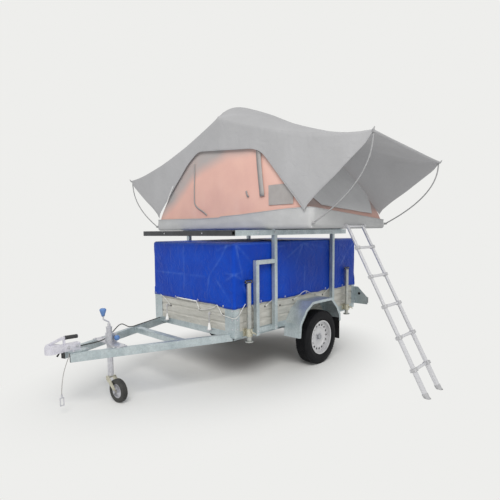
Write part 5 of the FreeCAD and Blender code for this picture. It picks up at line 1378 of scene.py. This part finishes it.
# Tent body. One shell of pale orange canvas drawn over the hoops: it rises from the base's ends to the
# ridge and rounds over at the shoulders, with zipped door outlines, a strap, a toggle and a patch on
# the side, and a grey cover over each sloping end. Under the fly's eaves the orange is painted grey, a
# painted shadow that fades out downward.
TENT_FRONT = 1.784
TENT_REAR = 3.116
TENT_RIDGE_Y = -0.015
LINE_EASE = 0.022
# Depth below the eaves over which the painted shadow fades out.
EAVE_SHADOW_BAND = 0.13
BODY_FLOOR = GROUND + 1.490
BODY_HALF = 1.156
BODY_LINE = ((0.0, 1.200), (0.120, 1.090), (0.330, 0.920), (0.620, 0.700), (0.860, 0.455), (1.050, 0.215),
             (1.120, 0.110), (1.156, 0.0))
BODY_SHOULDER = 0.900
BODY_ARCH = ((0.0, 0.900), (0.012, 0.955), (0.060, 1.035), (0.130, 1.110), (0.230, 1.174), (0.40, 1.188),
             (0.666, 1.196))
SHOULDER_TURN = 0.032
# Painted shadow under the fly's eaves: the height where it is full, along the distance from the box's near
# side.
EAVE_SHADOW_LINE = ((-0.45, 1.72), (-0.25, 1.98), (0.0, 2.22), (0.12, 2.28), (0.5, 2.28), (0.9, 2.18), (1.10, 2.10),
             (1.25, 1.96), (1.45, 1.82), (1.65, 1.72))


def soft_line(pairs, at, reach):
    """Broken line with its corners eased: the mean of nearby values."""
    steps = 7
    return sum(line_at(pairs, at + reach * (2 * k / (steps - 1) - 1)) for k in range(steps)) / steps


def body_roof(x, y):
    """Height of the tent body's roof over the base at a place."""
    rise = soft_line(BODY_LINE, abs(y - TENT_RIDGE_Y), LINE_EASE)
    inward = min(x - TENT_FRONT, TENT_REAR - x)
    arch = line_at(BODY_ARCH, max(0.0, inward))
    blend = 0.030
    low, gap = min(rise, arch), abs(rise - arch)
    if gap < blend:
        low -= (blend - gap) ** 2 / (4 * blend)
    return max(0.0, low)


def body_rows():
    """Sections of the tent body across the trailer's length, from the near end to the far end."""
    rows, whitening_and_highlight = [], []
    stations = 104
    wall_steps, turn_steps, roof_steps = 26, 5, 34
    for i in range(stations + 1):
        y = TENT_RIDGE_Y - BODY_HALF + 2 * BODY_HALF * i / stations
        rise = soft_line(BODY_LINE, abs(y - TENT_RIDGE_Y), LINE_EASE)
        wall = min(rise, BODY_SHOULDER)
        turn = min(SHOULDER_TURN, wall * 0.5)
        half = []
        for k in range(wall_steps):
            half.append((0.0, (wall - turn) * k / wall_steps))
        for k in range(turn_steps):
            angle = math.pi / 2 * k / turn_steps
            half.append((turn * (1 - math.cos(angle)), wall - turn + turn * math.sin(angle)))
        section = [(TENT_FRONT + inward, z) for inward, z in half]
        span = TENT_REAR - TENT_FRONT - 2 * turn
        for k in range(roof_steps + 1):
            x = TENT_FRONT + turn + span * k / roof_steps
            section.append((x, max(wall if 0 < k < roof_steps and rise < BODY_SHOULDER else 0.0,
                                   body_roof(x, y))))
        section += [(TENT_REAR - inward, z) for inward, z in reversed(half)]
        row = []
        for x, z in section:
            share = min(1.0, z / max(0.05, wall))
            hold = math.sin(math.pi * clamped(share))
            crease = noise.noise(Vector((x / 0.4, y / 0.13, z / 0.5)) + Vector((2, 7, 1)))
            wave = 0.006 * noise.noise(Vector((x, y, z)) / 0.25) + 0.003 * crease
            side = -1 if x < 2.0 else 1 if x > 2.9 else 0
            lift = 0.0 if side else 0.5 * wave
            row.append((x + side * wave * hold, y, BODY_FLOOR + z + lift))
            # Painted highlight where the fold noise pushes the cloth out.
            whitening_and_highlight.append(max(0.0, crease - 0.25) * 1.5)
        rows.append(row)
    return rows, whitening_and_highlight


def painted_eave_shadow(place):
    """Share of painted shadow on the orange cloth at a place: wholly grey under the eaves, fading out below
    them.
    """
    below = line_at(EAVE_SHADOW_LINE, place[1] + BOX_HALF) - (place[2] - GROUND)
    return clamped(1 - below / EAVE_SHADOW_BAND)


# The lighter orange is a painted highlight on pushed-out folds; the grey is a painted shadow under the fly's
# eaves.
canvas_orange = woven("pale_orange_canvas", (0.70, 0.425, 0.365), (0.745, 0.470, 0.395), (0.79, 0.56, 0.49),
                      0.4, thread=0.0012, relief=0.3, roughness=0.85, cloud=0.30, specular=0.2,
                      painted_shadow_colour=(0.40, 0.39, 0.385))
strap_grey = woven("grey_webbing", (0.34, 0.32, 0.31), (0.39, 0.37, 0.36), (0.4, 0.4, 0.4), 0.0,
                   thread=0.0018, relief=0.5, roughness=0.85, cloud=0.1)
body_sections, body_highlight = body_rows()
body_piece = cloth("tent_body_shell", body_sections, canvas_orange, "trailer", 0.0016,
                   body_highlight, inside=(2.45, -0.015, 1.4))
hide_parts("tent_body")
body_mesh = body_piece.data
# Painted shadow: the orange turns grey under the fly's eaves.
eave_shadow_share = body_mesh.attributes.new("fade", "FLOAT", "POINT")
for vert, item in zip(body_mesh.vertices, eave_shadow_share.data):
    item.value = painted_eave_shadow(vert.co) * (0.9 + 0.2 * noise.noise(vert.co * 7))


def on_tent_side(y_box, height, off=0.0075):
    """Place on the tent's front wall from the distance to the box's near corner and the height."""
    return Vector((TENT_FRONT - off, y_box - BOX_HALF, GROUND + height))


def ribbon(path, width, thick, across):
    """Flat band along points: its width lies along the given direction, its thickness along the other."""
    path = [Vector(p) for p in path]
    across = Vector(across).normalized()
    rings = []
    for i, spot in enumerate(path):
        ahead = heading(path, i)
        wide = (across - ahead * across.dot(ahead)).normalized()
        deep = ahead.cross(wide)
        rings.append([spot + wide * (s * width / 2) + deep * (t * thick / 2)
                      for s, t in ((-1, -1), (0, -1.15), (1, -1), (1, 1), (0, 1.15), (-1, 1))])
    return loft(rings)


strap_path = rounded_run([on_tent_side(0.065, 2.215, 0.012), on_tent_side(0.058, 2.12, 0.013),
                          on_tent_side(0.040, 1.95, 0.014), on_tent_side(0.019, 1.765, 0.012)], 4)
strap_piece = built("tent_side_strap", [ribbon(strap_path, 0.056, 0.003, (0, 1, 0))], strap_grey)
door_line = rounded_run([on_tent_side(1.030, 2.185), on_tent_side(1.036, 2.02), on_tent_side(1.046, 1.80),
                         on_tent_side(1.032, 1.735), on_tent_side(0.975, 1.690), on_tent_side(0.90, 1.655),
                         on_tent_side(0.835, 1.612)], 6)
zip_lines = [tube(door_line, 0.0032, 8),
             ribbon([p - Vector((0.001, 0, 0)) for p in door_line], 0.016, 0.0016, (0, 1, 0.3))]
far_zip = [Vector((TENT_REAR + TENT_FRONT - p.x, p.y, p.z)) for p in door_line]
zip_lines += [tube(far_zip, 0.0032, 8),
              ribbon([p + Vector((0.001, 0, 0)) for p in far_zip], 0.016, 0.0016, (0, 1, 0.3))]
zip_piece = built("tent_door_zips", zip_lines, strap_grey)
toggle = ribbon([on_tent_side(0.231, 1.828, 0.010), on_tent_side(0.218, 1.798, 0.013),
                 on_tent_side(0.204, 1.768, 0.010)], 0.018, 0.004, (0, 1, 0))
toggle_piece = built("tent_side_toggle", [toggle], strap_grey)
patch = slab((TENT_FRONT - 0.0095, -0.978, GROUND + 1.675), (TENT_FRONT - 0.0065, -0.688, GROUND + 1.860),
             0.0012)
patch_piece = built("tent_side_patch", [patch], strap_grey, smooth=False)


def slope_cover(sign):
    """Grey cover over a sloping end wall, a little above it; its lower corners are cut off."""
    rise_line = [(rise, reach) for reach, rise in reversed(BODY_LINE)]
    rows = []
    for i in range(29):
        up_share = i / 28
        start = 1.800 + 0.24 * (1 - min(1.0, up_share / 0.34)) ** 1.1
        end = 3.108 - 0.19 * (1 - min(1.0, up_share / 0.34)) ** 1.2
        row = []
        for k in range(41):
            x = start + (end - start) * k / 40
            low = skirt_top(x, sign * 1.16) + 0.040 - 1.490
            rise = low + (0.86 - low) * up_share
            reach = line_at(rise_line, rise)
            flap = 0.004 * noise_at(x / 0.2, reach / 0.2, 3.0) + 0.008
            row.append((x, TENT_RIDGE_Y + sign * (reach + flap), BODY_FLOOR + rise + flap))
        rows.append(row)
    return rows


# This cloth gives off its own colour: painted light that brightens its shaded side.
cover_grey = woven("grey_cover_fabric", (0.40, 0.402, 0.405), (0.44, 0.442, 0.445), (0.5, 0.5, 0.51), 0.5,
                   thread=0.0012, roughness=0.8, cloud=0.3, specular=0.15, painted_glow=0.26, wrinkle=0.006)
end_covers = [cloth("tent_end_cover_" + side_name, slope_cover(sign), cover_grey, "trailer",
                    0.0014, inside=(2.45, -0.015, 1.2)) for side_name, sign in (("near", -1), ("far", 1))]

# Fly. One large sheet of grey coated fabric: from the ridge it runs out to a bar at each end, and hangs
# down both sides to the base's corners, cut in a wide arch over the doors, taut between its corners.
FLY_X = (1.760, 3.140)
FLY_EDGES = ((0.0, FLY_X[0], 1), (1.0, FLY_X[1], -1))
FLY_EAVE = 2.600
FLY_CROWN = 0.190
FLY_REACH = 1.735
FLY_TIPS = {-1: (2.185, 2.095), 1: (2.114, 2.050)}
FLY_SAG = 0.006
HEM_LOW = 1.600
HEM_OFFSET = 1.100
HEM_RISE = ((0.0, 0.0), (0.03, 0.08), (0.21, 0.257), (0.46, 0.455), (0.735, 0.7), (0.9, 0.845), (1.0, 1.0))
HEM_ARCH = ((-1.0, 1.600), (-0.975, 1.640), (-0.557, 2.170), (-0.448, 2.220), (0.297, 2.300), (0.461, 2.190),
            (0.985, 1.660), (1.0, 1.600))
FLY_STATIONS = 148
ROOF_STEPS = 46
FLAP_STEPS = 15


def fly_height(offset, t):
    """Height of the fly above the ground from the distance to the ridge and the share of its width."""
    side = -1 if offset < 0 else 1
    s = min(1.0, abs(offset) / FLY_REACH)
    front, rear = FLY_TIPS[side]
    tip = front + (rear - front) * t
    crown = FLY_CROWN * (1 - s) ** 0.75 * (1 - abs(2 * t - 1) ** 3.6)
    return tip + (FLY_EAVE - tip) * (1 - s) ** 1.55 + crown


def fly_hem(offset, t):
    """Height of the side flap's hem at a distance from the ridge."""
    side = -1 if offset < 0 else 1
    out = abs(offset)
    if out >= HEM_OFFSET:
        top = fly_height(side * FLY_REACH, t)
        share = (out - HEM_OFFSET) / (FLY_REACH - HEM_OFFSET)
        eased = line_at(HEM_RISE, share) if share < 0.06 else soft_line(HEM_RISE, share,
                                                                        0.05 * min(1.0, (1 - share) * 5))
        return HEM_LOW + (top - HEM_LOW) * eased
    share = offset / HEM_OFFSET
    ease = 0.05 * min(1.0, (1 - abs(share)) * 10)
    return soft_line(HEM_ARCH, share, ease)


def flap_edges(offset, t):
    """Heights of the side flap's eave and hem at a distance from the ridge."""
    eave = fly_height(offset, t) - FLY_SAG
    return eave, min(fly_hem(offset, t), eave - 0.001)


def flap_stand(drop, fall, wave):
    """How far the flap stands out where it has dropped this far of its whole fall."""
    return (0.0015 + 0.011 * min(1.0, drop / 0.4) * (0.45 + 0.55 * wave)) * min(1.0, fall / 0.2)


def fold_ridge(x, y, x0, y0, x1, y1, width):
    """Height share of a tension fold along a line on the plan."""
    dx, dy = x1 - x0, y1 - y0
    share = ((x - x0) * dx + (y - y0) * dy) / (dx * dx + dy * dy)
    held = clamped(share)
    far = math.hypot(x - x0 - held * dx, y - y0 - held * dy)
    return (1 - held) * math.exp(-(far / (width * (0.4 + held))) ** 2)


FLY_FOLDS = ((1.76, -1.75, 2.25, -0.75, 0.035), (1.76, -1.75, 2.05, -0.85, 0.03),
             (1.76, -1.75, 2.6, -1.15, 0.04), (3.14, -1.75, 2.75, -0.80, 0.035),
             (1.76, 1.72, 2.15, 0.60, 0.035), (3.14, 1.72, 2.8, 0.7, 0.035),
             (1.76, -0.015, 2.05, -0.50, 0.03), (1.76, -0.015, 2.10, 0.42, 0.03),
             (1.76, 1.72, 2.5, 1.1, 0.04))


def fly_rows():
    """Sections of the fly: front hem, up to the eave, over the roof, down to the rear hem."""
    offsets = [-FLY_REACH + 2 * FLY_REACH * i / FLY_STATIONS for i in range(FLY_STATIONS + 1)]
    offsets += [sign * place for place in (HEM_OFFSET, HEM_OFFSET + 0.013) for sign in (-1, 1)]
    offsets = sorted(set(round(value, 4) for value in offsets))
    rows, whitening_and_highlight = [], []
    for offset in offsets:
        y = TENT_RIDGE_Y + offset
        flaps = []
        for t, x, way in FLY_EDGES:
            eave, hem = flap_edges(offset, t)
            flap = []
            for k in range(FLAP_STEPS):
                share = k / FLAP_STEPS
                z = hem + (eave - hem) * share
                drop = (eave - hem) * (1 - share)
                wave = noise_at(offset / 0.16, z / 0.6, t * 9)
                out = flap_stand(drop, eave - hem, wave)
                # Painted highlight where the flap stands out furthest.
                flap.append(((x - way * out, y, GROUND + z), max(0.0, wave) * 0.6))
            flaps.append(flap[::way])
        roof = []
        for k in range(ROOF_STEPS + 1):
            t = k / ROOF_STEPS
            t = 0.5 - 0.5 * math.cos(math.pi * t) * (1 - 0.12 * math.sin(math.pi * t) ** 2)
            x = FLY_X[0] + t * (FLY_X[1] - FLY_X[0])
            lift = 0.0055 * sum(fold_ridge(x, y, *fold) for fold in FLY_FOLDS)
            broad = 0.0035 * noise_at(x / 0.35, y / 0.35, 2.0)
            inner = min(1.0, (FLY_REACH - abs(offset)) / 0.08)
            # Painted highlight along the tension folds.
            roof.append(((x, y, GROUND + fly_height(offset, t) + (lift + broad) * inner),
                         min(1.0, lift * 150)))
        section = flaps[0] + roof + flaps[1]
        rows.append([spot for spot, _ in section])
        whitening_and_highlight += [crease for _, crease in section]
    return rows, whitening_and_highlight


# The fly gives off its own colour, painted light that brightens its shaded side; its lighter fold colour is a
# painted highlight.
fly_grey = woven("grey_fly_fabric", (0.235, 0.235, 0.239), (0.257, 0.257, 0.261), (0.30, 0.30, 0.31), 0.5,
                 thread=0.0010, relief=0.22, roughness=0.75, cloud=0.45, check=0.006, specular=0.15,
                 painted_glow=0.66, wrinkle=0.006)
fly_sections, fly_highlight = fly_rows()
fly_piece = cloth("tent_fly_sheet", fly_sections, fly_grey, "trailer", 0.0013, fly_highlight,
                  inside=(2.45, -0.015, 1.35))
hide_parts("tent_fly")


def hem_binding(t, x, way):
    """Narrow doubled band along a side flap's hem."""
    path = []
    reach = FLY_REACH - 0.012
    for i in range(141):
        offset = -reach + 2 * reach * i / 140
        eave, hem = flap_edges(offset, t)
        wave = noise_at(offset / 0.16, hem / 0.6, t * 9)
        out = flap_stand(eave - hem, eave - hem, wave)
        path.append(Vector((x - way * (out - 0.0004), TENT_RIDGE_Y + offset, GROUND + hem + 0.0045)))
    return tube(path, 0.0036, 6)


bindings = [hem_binding(*edge) for edge in FLY_EDGES]
sleeves = []
for side in (-1, 1):
    front, rear = FLY_TIPS[side]
    y = TENT_RIDGE_Y + side * (FLY_REACH - 0.004)
    ends = (Vector((FLY_X[0] - 0.004, y, GROUND + front - 0.006)),
            Vector((FLY_X[1] + 0.004, y, GROUND + rear - 0.006)))
    steps = [ends[0].lerp(ends[1], k / 16) - Vector((0, 0, 0.006 * math.sin(math.pi * k / 16)))
             for k in range(17)]
    sleeves.append(tube(steps, 0.0105, 12))
    for end, way in ((ends[0], -1), (ends[1], 1)):
        sleeves.append(tube([end, end + Vector((way * 0.004, side * 0.010, 0.010)),
                             end + Vector((way * 0.007, side * 0.019, 0.026))], [0.0095, 0.008, 0.003], 10))
binding_piece = built("tent_fly_binding", bindings + sleeves, fly_grey)

# Canopy rods. Four sprung rods stand in ferrules on the base's corners and bow out and up to the
# fly's corners; a short white pole props the fly's hem on the far side of the front.
ROD_ROOT = GROUND + 1.500
ROD_X = (1.776, 3.124)
rod_shapes = []
for side in (-1, 1):
    face = BODY_HALF + 0.0165
    for x, t in ((ROD_X[0], 0.0), (ROD_X[1], 1.0)):
        top = GROUND + FLY_TIPS[side][0 if t == 0 else 1] - 0.012
        start, reach = face + 0.008, FLY_REACH - 0.009
        path = []
        for k in range(33):
            rise = k / 32
            offset = start + (reach - start) * (1 - (1 - rise) ** 2.2)
            path.append((x, TENT_RIDGE_Y + side * offset, ROD_ROOT + rise * (top - ROD_ROOT)))
        rod_shapes.append(tube(path, 0.0062, 12))
        rod_shapes.append(tapered((x, TENT_RIDGE_Y + side * (face - 0.001), ROD_ROOT),
                                  (x, TENT_RIDGE_Y + side * (face + 0.026), ROD_ROOT),
                                  ((0, 0.0125), (0.15, 0.0125), (0.2, 0.0098), (0.9, 0.0094), (1, 0.0075)),
                                  16))
rod_grey = surface("fibreglass_rod", (0.30, 0.30, 0.305), (0.35, 0.35, 0.355), 0.0, 0.6, 0.08, grain=0.15,
                   streak=0.3, specular=0.2)
rods_piece = built("canopy_rods_smooth", rod_shapes, rod_grey)
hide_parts("canopy_rods")
hem_pole = tapered(on_tent_side(1.529, 1.801, 0.034), on_tent_side(1.401, 1.974, 0.034),
                   ((0, 0.003), (0.02, 0.0045), (0.98, 0.0045), (1, 0.003)), 12)
built("fly_hem_pole", [hem_pole], white_plastic)

# Ladder. Four telescoping pairs of alloy tubes with round rungs; grey moulded collars lock each rung,
# and the lowest tubes stand in moulded shoes.
LADDER_X = 2.461
LADDER_HINGE = Vector((LADDER_X, -1.209, GROUND + 1.472))
LADDER_FOOT = Vector((LADDER_X, -1.988, GROUND))
LADDER_WAY = (LADDER_FOOT - LADDER_HINGE).normalized()
LADDER_LENGTH = (LADDER_FOOT - LADDER_HINGE).length
LADDER_TRACK = 0.284
RUNG_RADIUS = 0.0134
COLLAR_HALF = 0.0152
LADDER_PARTS = (("ladder_top", 0.015, (0.232, 0.529)), ("ladder_second", 0.0175, (0.826,)),
                ("ladder_third", 0.020, (1.123,)), ("ladder_foot", 0.0225, (1.420,)))

collar_grey = surface("grey_moulded_collar", (0.40, 0.40, 0.41), (0.47, 0.47, 0.475), 0.0, 0.5, 0.04,
                      grain=0.2, edge=0.001)
repaint(tube_alloy, "ladder_section_1", "ladder_section_2", "ladder_section_3", "ladder_section_4")


def along_ladder(side, at, out=0.0, across=0.0):
    """Place on the ladder: which rail, how far down it, and how far in front of its plane."""
    normal = Vector((1, 0, 0)).cross(LADDER_WAY)
    return LADDER_HINGE + Vector((side * LADDER_TRACK / 2 + across, 0, 0)) + LADDER_WAY * at + normal * out


def collar(side, at, half):
    """Moulded collar round a rail at a rung, with softened edges and a release button."""
    rings = []
    for shift, grow in ((-COLLAR_HALF, -0.0030), (-0.0146, -0.0008), (-0.0130, 0.0007), (0.0130, 0.0007),
                        (0.0146, -0.0008), (COLLAR_HALF, -0.0030)):
        r = half + grow
        cut = r * 0.30
        corners = ((-r, -r + cut), (-r + cut, -r), (r - cut, -r), (r, -r + cut), (r, r - cut), (r - cut, r),
                   (-r + cut, r), (-r, r - cut))
        rings.append([along_ladder(side, at + shift, out, across) for across, out in corners])
    bore = half - 0.0053
    turns = [math.radians(-157.5 + 45 * i) for i in range(8)]
    rings += [[along_ladder(side, at + shift, bore * math.sin(turn), bore * math.cos(turn)) for turn in turns]
              for shift in (COLLAR_HALF, -COLLAR_HALF)]
    rings.append(rings[0])
    button = [along_ladder(side, at, out, -side * half * 0.2) for out in (half, half + 0.004)]
    return joined([loft(rings, caps=False), tapered(*button, ((0, 0.0065), (0.7, 0.0062), (1, 0.0045)), 12)])


for body, radius, rungs in LADDER_PARTS:
    shapes = []
    treads = []
    for at in rungs:
        shapes += [collar(side, at, radius + 0.0050) for side in (-1, 1)]
        reach = LADDER_TRACK / 2 - radius - 0.006
        for turn in (-30, 0, 30, 60, 90):
            rad = math.radians(turn)
            out, down = RUNG_RADIUS * math.cos(rad), -RUNG_RADIUS * math.sin(rad)
            ends = [along_ladder(0, at + down, out, across) for across in (-reach, reach)]
            treads.append(tube(ends, 0.0012, 6))
    if body == "ladder_foot":
        for side in (-1, 1):
            foot = lathe([(-0.0400, radius + 0.0005), (-0.0395, radius + 0.0028), (-0.0360, radius + 0.0040),
                          (-0.0300, radius + 0.0042), (0.0, radius + 0.0042), (0.0260, radius + 0.0042),
                          (0.0260, 0.0), (-0.0120, 0.0), (-0.0120, radius - 0.0010),
                          (-0.0400, radius - 0.0010)], along_ladder(side, LADDER_LENGTH), LADDER_WAY, 24,
                         closed=True)
            points = [Vector((p.x, p.y, max(p.z, GROUND + 0.0003))) for p in foot[0]]
            link("ladder_shoe_left" if side < 0 else "ladder_shoe_right", shell(points, foot[1]), collar_grey,
                 body)
    built(body + "_collars", shapes, collar_grey, body, smooth=False)
    built(body + "_treads", treads, tube_alloy, body)
